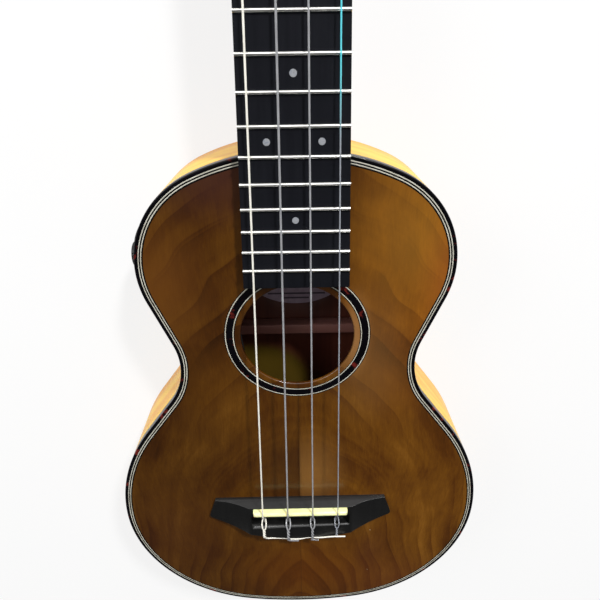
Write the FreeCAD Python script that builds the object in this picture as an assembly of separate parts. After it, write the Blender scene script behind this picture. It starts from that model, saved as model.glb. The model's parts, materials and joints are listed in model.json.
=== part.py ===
"""Concert ukulele with a built-in pickup, as separate pieces.

Lies on its back: +X treble side, +Y towards the head, +Z out of the soundboard.
The origin is on the back, straight under the string end of the scale, in mm.
"""
import FreeCAD, Part
import math
import os

V = FreeCAD.Vector

# ---- scale and body outline
scale_length = 380.0
body_fret = 12
neck_joint_gap = 1.5
body_length = 284.0
lower_bout = 198.0
waist = 114.0
upper_bout = 142.0
lower_bout_from_tail = 82.0
waist_from_top = 101.0
upper_bout_from_top = 51.0
tail_radius = 195.0
shoulder_radius = 108.0
waist_radius_lower = 37.0
waist_radius_upper = 31.0
flank_lower = 25.0
flank_upper = 24.0
body_depth = 42.0

# ---- plates, rims and trim
top_thickness = 2.0
back_thickness = 2.2
side_thickness = 2.2
binding_width = 1.8
top_binding_height = 5.0
back_binding_height = 4.0
purfling_widths = [0.45, 0.65, 0.45, 0.65]
purfling_depth = 1.2
lining_width = 4.8
lining_height = 10.0
hole_radius = 26.8
hole_from_board = 28.4
rosette_depth = 1.0
rosette_inner_radius = 29.6
rosette_widths = [0.4, 0.45, 3.2, 0.45, 0.4]

# ---- neck, fretboard and head
nut_width = 34.4
width_at_joint = 43.6
fret_count = 17
board_thickness = 6.0
board_overhang = 8.4
fret_height = 1.0
fret_crown = 1.5
fret_tang = 0.55
tang_depth = 2.0
fret_inset = 0.1
dot_radius = 1.4
side_dot_radius = 1.0
dot_depth = 1.0
dot_frets = [5, 7, 10, 15]
double_dot_frets = [12]
double_dot_spread = 10.6
neck_thickness = 14.0
neck_end_thickness = 16.0
heel_length = 44.0
heel_foot_length = 13.0
heel_foot_width = 22.0
heel_steps = 12
heel_squareness = 0.88
heel_drop = 3.0
heel_shape = [(0.0, 0.97, 1.0), (0.3, 0.9, 0.68), (0.62, 0.72, 0.42)]
neck_root = 2.0
heel_cap_thickness = 2.4
heel_cap_gap = 1.6
tenon_width = 18.0
tenon_length = 14.0
tenon_height = 24.0
tenon_drop = 8.0
tenon_clearance = 0.1
nut_thickness = 5.0
nut_lip = 1.5
nut_seat = 0.35
nut_slope = 16.0
nut_slot_steps = 7
head_angle = 10.0
head_length = 138.0
head_flare = 24.0
head_throat_half = 27.0
head_end_half = 29.0
head_crown = 8.0
head_flare_bulge = 1.6
head_flare_bend = 10.08
head_thickness = 12.0
veneer_thickness = 2.0

# ---- strings, left to right: G, C, E, A
string_names = ["g", "c", "e", "a"]
string_radii = [0.42, 0.46, 0.40, 0.32]
saddle_spacing = 13.7
nut_spacing = 9.5
action = 2.1
string_gap = 0.04

# ---- bridge and saddle
bridge_half = 51.8
bridge_front_half = 47.5
bridge_front = 1.2
bridge_depth = 25.8
bridge_tip_back = 12.7
bridge_height = 7.2
bridge_tip_height = 2.0
bridge_table_half = 28.5
bridge_scoop_height = 3.1
bridge_slope_start = 1.0
bridge_slope_back = 1.2
saddle_setback = 1.8
saddle_thickness = 2.6
saddle_length = 52.0
saddle_clearance = 0.05
saddle_slot_floor = 1.8
saddle_corner = 2.1
pickup_height = 1.2
pickup_end_gap = 0.5
pickup_side_gap = 0.1
tie_block_depth = 10.4
channel_floor = 2.2
channel_gap = 2.6
channel_end = 1.0
tie_hole_height = 3.6
tie_hole_clearance = 0.45
tail_stub = 3.0
tie_bend = 1.5
nut_bend = 6.0
plate_width = 92.0
plate_depth = 34.0
plate_thickness = 1.8

# ---- blocks, braces, label
neck_block_width = 50.0
neck_block_depth = 24.0
tail_block_width = 46.0
tail_block_depth = 14.0
brace_width = 7.0
brace_height = 8.0
fan_brace_width = 5.0
fan_brace_height = 6.0
fan_length = 62.0
fan_spread = 15.0
fan_lean = 10.0
fan_end_gap = 2.0
fan_plate_gap = 1.0
hole_brace_gap = 10.0
back_brace_width = 5.5
back_brace_places = [-38.0, 28.0, 91.2]
label_half_length = 20.0
label_half_width = 28.0
label_thickness = 0.2
label_gap = 9.2

# ---- machine heads
post_side = 17.5
post_places = [44.0, 94.0]
post_radius = 3.0
post_groove_radius = 2.5
post_height = 15.0
winding_height = 7.0
winding_turns = 3
winding_gap = 0.25
winding_room = 2.2
string_hole_rise = 1.6
string_hole_radius = 0.9
running_clearance = 0.05
bushing_radius = 4.6
bushing_flange_radius = 6.6
bushing_flange = 1.6
housing_width = 14.0
housing_depth = 9.0
housing_wall = 1.5
housing_before_post = 7.0
housing_end_gap = 0.4
housing_round = 2.5
housing_edge_round = 1.0
ear_length = 6.0
ear_width = 8.4
ear_thickness = 2.0
gear_radius = 4.2
gear_thickness = 3.0
gear_teeth = 14
gear_tooth = 0.8
gear_end_gap = 0.3
worm_radius = 2.3
mesh_gap = 0.15
worm_length = 9.0
worm_pitch = 1.8
worm_groove = 0.7
shaft_radius = 1.5
button_gap = 5.0
button_length = 10.0
button_width = 16.0
button_thickness = 8.0
button_round = 3.4
button_end_round = 1.53
button_collar_wall = 1.6
button_collar = 1.5
key_screw_radius = 1.9
key_screw_head = 1.0
ear_screw_radius = 0.9
ear_screw_head_radius = 1.8
ear_screw_head = 1.0
ear_screw_length = 7.0

# ---- preamp in the bass side
panel_middle_from_top = 53.0
panel_length = 40.0
panel_height = 32.0
panel_thickness = 1.2
panel_corner = 5.0
case_margin = 2.0
case_depth = 16.0
case_wall = 1.4
case_clearance = 0.2
case_room = 0.5
knob_offset = 2.5
knob_radius = 6.3
knob_height = 3.6
knob_gap = 0.35
knob_flutes = 16
knob_flute_radius = 0.6
knob_flute_out = 0.24
knob_edge_round = 1.0
knob_shaft_radius = 1.6
knob_shaft_length = 9.0
push_offset = -9.0
push_radius = 3.0
push_out = 1.0
push_stem = 5.0
drawer_width = 24.0
drawer_height = 5.6
drawer_floor = 0.9
drawer_gap = 0.25
drawer_depth = 13.0
coin_radius = 5.8
coin_thickness = 3.2
coin_gap = 0.1
coin_wall = 0.6
sheet_thickness = 1.2
sheet_from_end = 1.5
sheet_gap = 0.2
control_height = 1.2

# ---- output jack in the tail
jack_bore = 3.25
jack_radius = 5.6
jack_length = 34.0
jack_flange_radius = 8.6
jack_neck_radius = 6.4
jack_reach = 9.0
jack_flange = 2.4
jack_washer = 1.6
jack_nut_radius = 8.0
jack_nut_thickness = 3.0
jack_end_wall = 2.0
lead_radius = 1.1
lead_bend = 24.0
lead_clip = 0.4
lead_gap = 0.1
pickup_lead_shift = -4.0
pickup_lead_exit = 22.0
pickup_lead_sweep = 26.0
jack_lead_shift = 8.0
jack_lead_rise = 4.0
jack_lead_exit = 20.0
jack_lead_sweep = 30.0
jack_lead_turn = 46.0
jack_lead_straight = 26.0

# ---- places worked out from the sizes above
top_end = scale_length / 2 + neck_joint_gap
tail_end = top_end - body_length
lower_y = tail_end + lower_bout_from_tail
waist_y = top_end - waist_from_top
upper_y = top_end - upper_bout_from_top
deck = body_depth
deck_under = body_depth - top_thickness
board_top = deck + board_thickness
fret_top = board_top + fret_height
purfling_total = sum(purfling_widths)
half_depth = body_depth / 2


def fret_y(number):
    """Place of a fret along the scale, measured from the string end."""
    return scale_length / 2 ** (number / 12.0)


board_end = fret_y(fret_count) - board_overhang
hole_y = board_end - hole_from_board
board_taper = (width_at_joint - nut_width) / 2 / (scale_length - fret_y(body_fret))


def board_half(y):
    """Half the fretboard's width at y."""
    return nut_width / 2 + (scale_length - y) * board_taper


def box(x0, x1, y0, y1, z0, z1):
    """A box between two corners."""
    return Part.makeBox(x1 - x0, y1 - y0, z1 - z0, V(x0, y0, z0))


def cylinder(radius, start, end):
    """A cylinder between two points."""
    way = end.sub(start)
    return Part.makeCylinder(radius, way.Length, start, way)


def tube(radius, bore, start, end):
    """A hollow cylinder between two points."""
    return cylinder(radius, start, end).cut(cylinder(bore, start, end))


def mirrored(shape):
    """The shape on the other side of the centre line."""
    return shape.mirror(V(0, 0, 0), V(1, 0, 0))


def fused(shapes):
    """Several touching shapes as one solid."""
    return shapes[0].multiFuse(shapes[1:]).removeSplitter()


def save(name, shapes):
    """Write one sub-part: one solid, or a group of separate solids."""
    solids = []
    for shape in shapes:
        solids.extend(shape.Solids)
    result = solids[0] if len(solids) == 1 else Part.makeCompound(solids)
    result.exportStep("parts/" + name + ".step")
    bad = [solid for solid in solids if not solid.isValid() or solid.Volume <= 0]
    print(name, len(solids), round(result.Volume, 1), "BAD" if bad else "")


# ---- the body's outline: tangent arcs from the tail round to the neck end
def polar(centre, radius, angle):
    return V(centre[0] + radius * math.cos(angle), centre[1] + radius * math.sin(angle), 0)


def corner_radius(half, reach, end_radius):
    """Radius that joins a bout's widest point to the arc at the body's end."""
    return (2 * reach * end_radius - half ** 2 - reach ** 2) / (2 * (end_radius - half))


def bout_radius(step, rise, flank, waist_radius):
    """Radius of a bout on the waist's side, joined to the waist by a short straight."""
    return (step ** 2 + rise ** 2 - flank ** 2) / (2 * step) - waist_radius


def half_arcs(inset):
    """(centre, radius, start angle, end angle) of the right half, tail to neck end."""
    lower_half = lower_bout / 2
    upper_half = upper_bout / 2
    waist_half = waist / 2
    tail_corner = corner_radius(lower_half, lower_y - tail_end, tail_radius)
    neck_corner = corner_radius(upper_half, top_end - upper_y, shoulder_radius)
    lower_flank = bout_radius(lower_half - waist_half, waist_y - lower_y, flank_lower,
                              waist_radius_lower)
    upper_flank = bout_radius(upper_half - waist_half, upper_y - waist_y, flank_upper,
                              waist_radius_upper)
    tail_centre = (0, tail_end + tail_radius)
    tail_corner_centre = (lower_half - tail_corner, lower_y)
    lower_centre = (lower_half - lower_flank, lower_y)
    waist_low_centre = (waist_half + waist_radius_lower, waist_y)
    waist_high_centre = (waist_half + waist_radius_upper, waist_y)
    upper_centre = (upper_half - upper_flank, upper_y)
    neck_corner_centre = (upper_half - neck_corner, upper_y)
    neck_centre = (0, top_end - shoulder_radius)

    def heading(a, b):
        return math.atan2(b[1] - a[1], b[0] - a[0])

    def apart(a, b):
        return math.hypot(b[0] - a[0], b[1] - a[1])

    tail_turn = heading(tail_centre, tail_corner_centre)
    low_turn = heading(lower_centre, waist_low_centre) - math.acos(
        min(1, (lower_flank + waist_radius_lower) / apart(lower_centre, waist_low_centre)))
    high_turn = heading(waist_high_centre, upper_centre) + math.acos(
        min(1, (upper_flank + waist_radius_upper) / apart(waist_high_centre, upper_centre)))
    neck_turn = heading(neck_centre, neck_corner_centre)
    return [
        (tail_centre, tail_radius - inset, -math.pi / 2, tail_turn),
        (tail_corner_centre, tail_corner - inset, tail_turn, 0),
        (lower_centre, lower_flank - inset, 0, low_turn),
        (waist_low_centre, waist_radius_lower + inset, low_turn + math.pi, math.pi),
        (waist_high_centre, waist_radius_upper + inset, math.pi, high_turn),
        (upper_centre, upper_flank - inset, high_turn - math.pi, 0),
        (neck_corner_centre, neck_corner - inset, 0, neck_turn),
        (neck_centre, shoulder_radius - inset, neck_turn, math.pi / 2),
    ]


def outline_wire(inset, z):
    """Closed outline of the body, drawn in by inset, at height z."""
    edges = []
    last = None
    for centre, radius, start, end in half_arcs(inset):
        first = polar(centre, radius, start)
        middle = polar(centre, radius, (start + end) / 2)
        final = polar(centre, radius, end)
        if last is not None and first.distanceToPoint(last) > 1e-4:
            edges.append(Part.LineSegment(last, first).toShape())
        edges.append(Part.Arc(first, middle, final).toShape())
        last = final
    edges.extend([mirrored(edge) for edge in edges])
    wire = Part.Wire(Part.__sortEdges__(edges))
    wire.translate(V(0, 0, z))
    return wire


def plate(inset, z0, z1):
    """The body's outline as a plate between two heights."""
    return Part.Face(outline_wire(inset, z0)).extrude(V(0, 0, z1 - z0))


def rim(inset, width, z0, z1):
    """A strip of the given width that follows the body's outline."""
    return plate(inset, z0, z1).cut(plate(inset + width, z0, z1))


def disc(radius, z0, z1):
    """A disc around the soundhole's axis."""
    return cylinder(radius, V(0, hole_y, z0), V(0, hole_y, z1))


def hole_ring(inner, width, z0, z1):
    return disc(inner + width, z0, z1).cut(disc(inner, z0, z1))


far = 2 * (body_length + scale_length)
treble_half = box(0, far, -far, far, -far, far)
bass_half = box(-far, 0, -far, far, -far, far)


# ---- head frame: x across, y along the head from the nut, z out of its face
head_start = scale_length + nut_thickness


def on_head(shape):
    """Tilt a shape drawn flat on the head back to the head's angle."""
    moved = shape.copy()
    moved.rotate(V(0, 0, 0), V(1, 0, 0), -head_angle)
    moved.translate(V(0, head_start, deck))
    return moved


def head_point(x, y, z):
    turn = math.radians(head_angle)
    return V(x, head_start + y * math.cos(turn) + z * math.sin(turn),
             deck - y * math.sin(turn) + z * math.cos(turn))


def head_plate(z0, z1):
    """The head's outline as a plate."""
    shoulder = head_length - head_crown
    throat = V(nut_width / 2, 0, z0)
    flare = V(head_throat_half, head_flare, z0)
    bend = V((throat.x + flare.x) / 2 + head_flare_bulge, head_flare_bend, z0)
    corner = V(head_end_half, shoulder, z0)
    half = [Part.Arc(throat, bend, flare).toShape(), Part.LineSegment(flare, corner).toShape()]
    crown = Part.Arc(corner, V(0, head_length, z0), V(-corner.x, corner.y, z0)).toShape()
    foot = Part.LineSegment(V(-throat.x, 0, z0), throat).toShape()
    edges = half + [crown, foot] + [mirrored(edge) for edge in half]
    face = Part.Face(Part.Wire(Part.__sortEdges__(edges)))
    return face.extrude(V(0, 0, z1 - z0))


# ---- places of the four machine heads: G and A nearest the nut, C and E above them
machines = []
for index in range(4):
    side = -1 if index < 2 else 1
    row = 0 if index in (0, 3) else 1
    machines.append((index + 1, side, side * post_side, post_places[row]))

# ---- saddle, nut and string places
string_x = [(index - 1.5) * saddle_spacing for index in range(4)]
nut_x = [(index - 1.5) * nut_spacing for index in range(4)]
nut_floor = fret_top + nut_seat
saddle_top = 2 * (fret_top + action) - nut_floor
saddle_y = -saddle_setback
bridge_top = deck + bridge_height
bridge_rear = bridge_front - bridge_depth
block_front = bridge_rear + tie_block_depth
tie_z = deck + tie_hole_height


def tangent_down(centre, radius, point):
    """Angle on a circle in the YZ plane where the line to a lower point leaves it."""
    dy = point[0] - centre[0]
    dz = point[1] - centre[1]
    return math.atan2(dz, dy), math.acos(radius / math.hypot(dy, dz))


def rounded_path(points, bends):
    """Straight runs joined by tangent arcs, one bend radius for each inner point."""
    edges = []
    last = points[0]
    for index in range(1, len(points) - 1):
        corner = points[index]
        before = points[index - 1].sub(corner).normalize()
        after = points[index + 1].sub(corner).normalize()
        turn = before.getAngle(after)
        cut = bends[index - 1] / math.tan(turn / 2)
        start = corner.add(V(before).multiply(cut))
        end = corner.add(V(after).multiply(cut))
        bisector = before.add(after).normalize()
        reach = bends[index - 1] / math.sin(turn / 2) - bends[index - 1]
        middle = corner.add(V(bisector).multiply(reach))
        edges.append(Part.LineSegment(last, start).toShape())
        edges.append(Part.Arc(start, middle, end).toShape())
        last = end
    edges.append(Part.LineSegment(last, points[-1]).toShape())
    return Part.Wire(edges)


def swept(points, bends, radius):
    """A round cord along a rounded path."""
    path = rounded_path(points, bends)
    ring = Part.Wire(Part.makeCircle(radius, points[0], points[1].sub(points[0])))
    cord = path.makePipeShell([ring], True, True)
    ratio = cord.Volume / (math.pi * radius ** 2 * path.Length)
    print("  cord", round(path.Length, 1), "long, bends", [round(b, 1) for b in bends],
          "volume ratio", round(ratio, 4))
    return cord


def string_route(index):
    """Corner points and bend radii of one string, from the tie block to its post."""
    radius = string_radii[index]
    number, side, post_x, post_y = machines[index]
    x = string_x[index]
    wrap = saddle_thickness / 2 + radius + string_gap
    crown = (saddle_y, saddle_top - saddle_thickness / 2)
    tie = (block_front + channel_gap, tie_z)
    nut_y = scale_length + nut_thickness / 2
    nut_z = nut_floor + radius + string_gap
    down, spread = tangent_down(crown, wrap, tie)
    rear_turn = down - spread
    ahead = math.atan2(nut_z - crown[1], nut_y - crown[0])
    front_turn = ahead + math.acos(wrap / math.hypot(nut_y - crown[0], nut_z - crown[1]))
    rear_turn = rear_turn % (2 * math.pi)
    middle = (rear_turn + front_turn) / 2
    reach = wrap / math.cos((rear_turn - front_turn) / 2)
    groove = post_groove_radius + winding_gap + radius
    leave = head_point(post_x - side * groove, post_y, winding_height)
    points = [
        V(x, bridge_rear - tail_stub, tie_z),
        V(x, tie[0], tie_z),
        V(x, crown[0] + reach * math.cos(middle), crown[1] + reach * math.sin(middle)),
        V(nut_x[index], nut_y, nut_z),
        leave,
    ]
    bends = [tie_bend, wrap, nut_bend]
    return points, bends


def string_solids(index):
    radius = string_radii[index]
    number, side, post_x, post_y = machines[index]
    points, bends = string_route(index)
    groove = post_groove_radius + winding_gap + radius
    solids = [swept(points, bends, radius)]
    for turn in range(1, winding_turns):
        height = winding_height - turn * (2 * radius + string_gap)
        solids.append(on_head(Part.makeTorus(groove, radius, V(post_x, post_y, height))))
    return solids


# ---- body
def neck_pocket(clearance):
    """Space of the neck's tenon in the neck block and the sides."""
    half = tenon_width / 2 + clearance
    top = deck_under - tenon_drop + clearance
    return box(-half, half, top_end - side_thickness - tenon_length - clearance,
               top_end + 1, top - tenon_height - 2 * clearance, top)


def panel_middle():
    return top_end - panel_middle_from_top


def side_box(length, height, x0, x1, shift=0.0, rise=0.0):
    """A box at the preamp's place in the bass side."""
    middle = panel_middle() + shift
    level = half_depth + rise
    return box(x0, x1, middle - length / 2, middle + length / 2, level - height / 2,
               level + height / 2)


def side_x(y):
    """How far out the bass side lies at y, between the waist and the neck end."""
    cutter = box(-far, 0, y - 0.01, y + 0.01, half_depth - 1, half_depth + 1)
    return plate(0, 0, body_depth).common(cutter).BoundBox.XMin


def case_hole(gap):
    """Space of the preamp's case, with a gap all round it."""
    return side_box(panel_length - 2 * (case_margin - gap), panel_height - 2 * (case_margin - gap),
                    -upper_bout, -upper_bout / 2 + case_depth)


def sides():
    outer = plate(0, back_binding_height, deck - top_binding_height)
    inner = plate(side_thickness, 0, body_depth)
    ledge = plate(binding_width, back_thickness, deck_under)
    shell = outer.fuse(ledge).cut(inner)
    shell = shell.cut(neck_pocket(tenon_clearance))
    shell = shell.cut(case_hole(case_clearance))
    shell = shell.cut(cylinder(jack_radius, V(0, tail_end - 5, half_depth),
                               V(0, tail_end + tail_block_depth * 2, half_depth)))
    return shell.common(bass_half), shell.common(treble_half)


def soundboard():
    board = plate(binding_width, deck_under, deck)
    board = board.cut(rim(binding_width, purfling_total, deck - purfling_depth, deck))
    board = board.cut(disc(hole_radius, deck_under, deck))
    board = board.cut(hole_ring(rosette_inner_radius, sum(rosette_widths),
                                deck - rosette_depth, deck))
    return board.cut(pickup_hole())


def pickup_hole():
    """Drilled way for the pickup's lead at the bass end of the saddle slot."""
    x = -saddle_length / 2 + 2 * lead_radius
    return cylinder(lead_radius + lead_clip / 2, V(x, saddle_y, deck_under - plate_thickness),
                    V(x, saddle_y, deck + saddle_slot_floor))


def purfling():
    lines = []
    inset = binding_width
    for width in purfling_widths:
        lines.append(rim(inset, width, deck - purfling_depth, deck))
        inset += width
    return lines[0::2], lines[1::2]


def rosette():
    rings = []
    radius = rosette_inner_radius
    for width in rosette_widths:
        rings.append(hole_ring(radius, width, deck - rosette_depth, deck))
        radius += width
    return rings


def neck_block():
    block = box(-neck_block_width / 2, neck_block_width / 2, top_end - neck_block_depth,
                top_end, back_thickness, deck_under)
    block = block.common(plate(side_thickness, back_thickness, deck_under))
    return block.cut(neck_pocket(tenon_clearance))


def tail_block():
    block = box(-tail_block_width / 2, tail_block_width / 2, tail_end,
                tail_end + tail_block_depth, back_thickness, deck_under)
    block = block.common(plate(side_thickness, back_thickness, deck_under))
    return block.cut(cylinder(jack_radius, V(0, tail_end - 5, half_depth),
                              V(0, tail_end + jack_length, half_depth)))


def linings():
    strips = rim(side_thickness, lining_width, deck_under - lining_height, deck_under)
    lower = rim(side_thickness, lining_width, back_thickness, back_thickness + lining_height)
    blocks = [
        box(-neck_block_width / 2, neck_block_width / 2, top_end - neck_block_depth, top_end,
            0, body_depth),
        box(-tail_block_width / 2, tail_block_width / 2, tail_end,
            tail_end + tail_block_depth, 0, body_depth),
        case_hole(case_room),
    ]
    pieces = []
    for strip in (strips, lower):
        pieces.append(strip.cut(blocks[0]).cut(blocks[1]).cut(blocks[2]))
    return pieces


inner_wall = side_thickness + lining_width


def crossing_brace(y, width, z0, z1):
    """A bar from lining to lining at y."""
    bar = box(-lower_bout, lower_bout, y - width / 2, y + width / 2, z0, z1)
    return bar.common(plate(inner_wall, z0, z1))


def top_braces():
    low = deck_under - brace_height
    above = hole_y + hole_radius + hole_brace_gap
    below = hole_y - hole_radius - hole_brace_gap
    bars = [crossing_brace(above, brace_width, low, deck_under).cut(case_hole(case_room)),
            crossing_brace(below, brace_width, low, deck_under)]
    fan_low = deck_under - fan_brace_height
    for step in (-1, 0, 1):
        fan = box(-fan_brace_width / 2, fan_brace_width / 2, -fan_length / 4,
                  fan_length / 2, fan_low, deck_under)
        fan.rotate(V(0, 0, 0), V(0, 0, 1), step * fan_lean)
        fan.translate(V(step * fan_spread, 0, 0))
        fan.translate(V(0, tail_end + tail_block_depth + fan_length / 4 + fan_end_gap, 0))
        below_plate = box(-lower_bout, lower_bout, tail_end, plate_rear() - fan_plate_gap, 0,
                          body_depth)
        bars.append(fan.common(plate(inner_wall, 0, body_depth)).common(below_plate))
    return bars


def plate_rear():
    return (bridge_front + bridge_rear) / 2 - plate_depth / 2


def bridge_plate():
    sheet = box(-plate_width / 2, plate_width / 2, plate_rear(), plate_rear() + plate_depth,
                deck_under - plate_thickness, deck_under)
    return sheet.cut(pickup_hole())


def back_braces():
    high = back_thickness + brace_height
    return [crossing_brace(y, back_brace_width, back_thickness, high) for y in back_brace_places]


def paper_label():
    """Oval of paper on the back, between the brace at the soundhole and the neck."""
    y = back_brace_places[-1] + back_brace_width / 2 + label_gap + label_half_length
    ring = Part.Ellipse(V(0, y, back_thickness), label_half_width, label_half_length).toShape()
    return Part.Face(Part.Wire(ring)).extrude(V(0, 0, label_thickness))


# ---- bridge
def bridge():
    rear_tip = bridge_front - bridge_tip_back
    front = V(bridge_front_half, bridge_front, deck)
    tip = V(bridge_half, rear_tip, deck)
    edges = [
        Part.LineSegment(mirrored(Part.Vertex(front)).Point, front).toShape(),
        Part.LineSegment(front, tip).toShape(),
        Part.Arc(tip, V(0, bridge_rear, deck), V(-tip.x, tip.y, deck)).toShape(),
        Part.LineSegment(V(-tip.x, tip.y, deck), V(-front.x, front.y, deck)).toShape(),
    ]
    blank = Part.Face(Part.Wire(Part.__sortEdges__(edges))).extrude(V(0, 0, bridge_height))
    scoop_middle = V((bridge_half + bridge_table_half) / 2, 0, deck + bridge_scoop_height)
    tip_up = V(bridge_half + 1, 0, deck + bridge_tip_height)
    table = V(bridge_table_half, 0, bridge_top)
    arc = Part.Arc(tip_up, scoop_middle, table).toShape()
    lid = Part.LineSegment(table, V(tip_up.x, 0, bridge_top + 1)).toShape()
    wall = Part.LineSegment(V(tip_up.x, 0, bridge_top + 1), tip_up).toShape()
    scoop = Part.Face(Part.Wire([arc, lid, wall])).extrude(V(0, -2 * bridge_depth, 0))
    scoop.translate(V(0, bridge_front + bridge_depth / 2, 0))
    foot = V(0, bridge_front, deck + bridge_slope_start)
    brow = V(0, bridge_front - bridge_slope_back, bridge_top)
    sliver = Part.Face(Part.makePolygon([foot, brow, V(0, bridge_front, bridge_top), foot]))
    sliver.translate(V(-bridge_half, 0, 0))
    body = blank.cut(scoop).cut(mirrored(scoop))
    body = body.cut(sliver.extrude(V(2 * bridge_half, 0, 0)))
    body = body.cut(saddle_slot()).cut(pickup_hole())
    channel_half = bridge_table_half - channel_end
    body = body.cut(box(-channel_half, channel_half, block_front, block_front + channel_width(),
                        deck + channel_floor, bridge_top + 1))
    for index in range(4):
        hole = string_radii[index] + tie_hole_clearance
        body = body.cut(cylinder(hole, V(string_x[index], bridge_rear - 1, tie_z),
                                 V(string_x[index], block_front + 1, tie_z)))
    return body


def channel_width():
    return saddle_y - saddle_thickness / 2 - channel_gap - block_front


def saddle_slot():
    half = saddle_length / 2 + saddle_clearance
    near = saddle_y - saddle_thickness / 2 - saddle_clearance
    return box(-half, half, near, near + saddle_thickness + 2 * saddle_clearance,
               deck + saddle_slot_floor, bridge_top + 1)


def saddle():
    half = saddle_length / 2
    low = deck + saddle_slot_floor + pickup_height
    crown = saddle_top - saddle_thickness / 2
    near = saddle_y - saddle_thickness / 2
    bar = box(-half, half, near, near + saddle_thickness, low, crown)
    bar = bar.fuse(cylinder(saddle_thickness / 2, V(-half, saddle_y, crown),
                            V(half, saddle_y, crown))).removeSplitter()
    corner = saddle_corner
    for side in (-1, 1):
        post = cylinder(corner, V(side * (half - corner), near - 1, saddle_top - corner),
                        V(side * (half - corner), near + saddle_thickness + 1, saddle_top - corner))
        outer = min(side * (half - corner), side * (half + 1))
        block = box(outer, outer + corner + 1, near - 1, near + saddle_thickness + 1,
                    saddle_top - corner, saddle_top + 1)
        bar = bar.cut(block.cut(post))
    return bar


def pickup_strip():
    half = saddle_length / 2 - pickup_end_gap
    width = saddle_thickness - 2 * pickup_side_gap
    return box(-half, half, saddle_y - width / 2, saddle_y + width / 2,
               deck + saddle_slot_floor, deck + saddle_slot_floor + pickup_height)


# ---- neck
def neck_section(y, half, thickness):
    """Flat-topped, round-backed section of the neck at y."""
    left = V(-half, y, deck)
    right = V(half, y, deck)
    return Part.Wire([Part.LineSegment(left, right).toShape(),
                      Part.Arc(right, V(0, y, deck - thickness), left).toShape()])


def heel_section(z, half, length):
    """Round-nosed section of the heel at height z."""
    base = top_end - neck_root
    points = []
    for step in range(heel_steps + 1):
        turn = math.pi * step / heel_steps
        across = math.copysign(abs(math.cos(turn)) ** heel_squareness, math.cos(turn))
        out = math.sin(turn) ** heel_squareness
        points.append(V(half * across, base + (length + neck_root) * out, z))
    nose = Part.BSplineCurve()
    nose.interpolate(points)
    return Part.Wire([nose.toShape(), Part.LineSegment(points[-1], points[0]).toShape()])


heel_foot = heel_cap_gap + heel_cap_thickness


def neck():
    shaft = Part.makeLoft([neck_section(top_end - neck_root, board_half(top_end),
                                        neck_end_thickness),
                           neck_section(head_start, nut_width / 2, neck_thickness)], True, True)
    half = board_half(top_end)
    heel_top = deck - heel_drop
    levels = [heel_section(heel_top - (heel_top - heel_foot) * down, half * wide,
                           heel_length * long) for down, wide, long in heel_shape]
    levels.append(heel_section(heel_foot, heel_foot_width / 2, heel_foot_length))
    heel = Part.makeLoft(levels, True, False)
    head = on_head(head_plate(-head_thickness, 0))
    wedge = on_head(box(-nut_width / 2, nut_width / 2, -nut_thickness * 2, 0.0,
                        -head_thickness, 0)).common(
        box(-far, far, 0, far, 0, deck))
    body = fused([shaft, heel, head, wedge])
    body = body.cut(plate(0, -1, body_depth + 1))
    body = body.fuse(neck_tenon()).removeSplitter()
    for number, side, x, y in machines:
        bore = cylinder(bushing_radius, V(x, y, -head_thickness - 1), V(x, y, 1))
        body = body.cut(on_head(bore))
        body = body.cut(on_head(ear_screw_shank(x, y)))
    return body


def neck_tenon():
    pocket = neck_pocket(0)
    inside = plate(0, 0, body_depth)
    return pocket.common(inside)


def heel_cap():
    nose = heel_section(heel_cap_gap, heel_foot_width / 2, heel_foot_length)
    cap = Part.Face(nose).extrude(V(0, 0, heel_cap_thickness))
    return cap.cut(plate(0, -1, body_depth))


def fretboard():
    start = board_end
    corners = [V(-board_half(start), start, deck), V(board_half(start), start, deck),
               V(nut_width / 2, scale_length, deck), V(-nut_width / 2, scale_length, deck)]
    board = Part.Face(Part.makePolygon(corners + [corners[0]])).extrude(V(0, 0, board_thickness))
    for number in range(1, fret_count + 1):
        y = fret_y(number)
        board = board.cut(box(-far, far, y - fret_tang / 2, y + fret_tang / 2,
                              board_top - tang_depth, board_top + 1))
    return board.cut(Part.makeCompound(dots() + side_dots()))


def frets():
    wires = []
    for number in range(1, fret_count + 1):
        y = fret_y(number)
        half = board_half(y) - fret_inset
        low = V(-half, y - fret_crown / 2, board_top)
        high = V(-half, y + fret_crown / 2, board_top)
        crown = Part.Face(Part.Wire([
            Part.Arc(low, V(-half, y, fret_top), high).toShape(),
            Part.LineSegment(high, low).toShape()])).extrude(V(2 * half, 0, 0))
        tang = box(-half, half, y - fret_tang / 2, y + fret_tang / 2,
                   board_top - tang_depth, board_top)
        wires.append(crown.fuse(tang).removeSplitter())
    return wires


def between(number):
    """Middle of the space in front of a fret."""
    return (fret_y(number) + fret_y(number - 1)) / 2


def dots():
    places = [(0, between(number)) for number in dot_frets]
    for side in (-1, 1):
        places.extend((side * double_dot_spread, between(number)) for number in double_dot_frets)
    return [cylinder(dot_radius, V(x, y, board_top - dot_depth), V(x, y, board_top))
            for x, y in places]


def side_dots():
    level = deck + board_thickness / 2
    marks = []
    edge = Part.Face(Part.makePolygon([
        V(-board_half(board_end), board_end, deck), V(0, board_end, deck),
        V(0, scale_length, deck), V(-nut_width / 2, scale_length, deck),
        V(-board_half(board_end), board_end, deck)])).extrude(V(0, 0, board_thickness))
    for number in dot_frets + double_dot_frets:
        y = between(number)
        x = -board_half(y)
        peg = cylinder(side_dot_radius, V(x - dot_depth, y, level), V(x + dot_depth, y, level))
        marks.append(peg.common(edge))
    return marks


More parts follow.
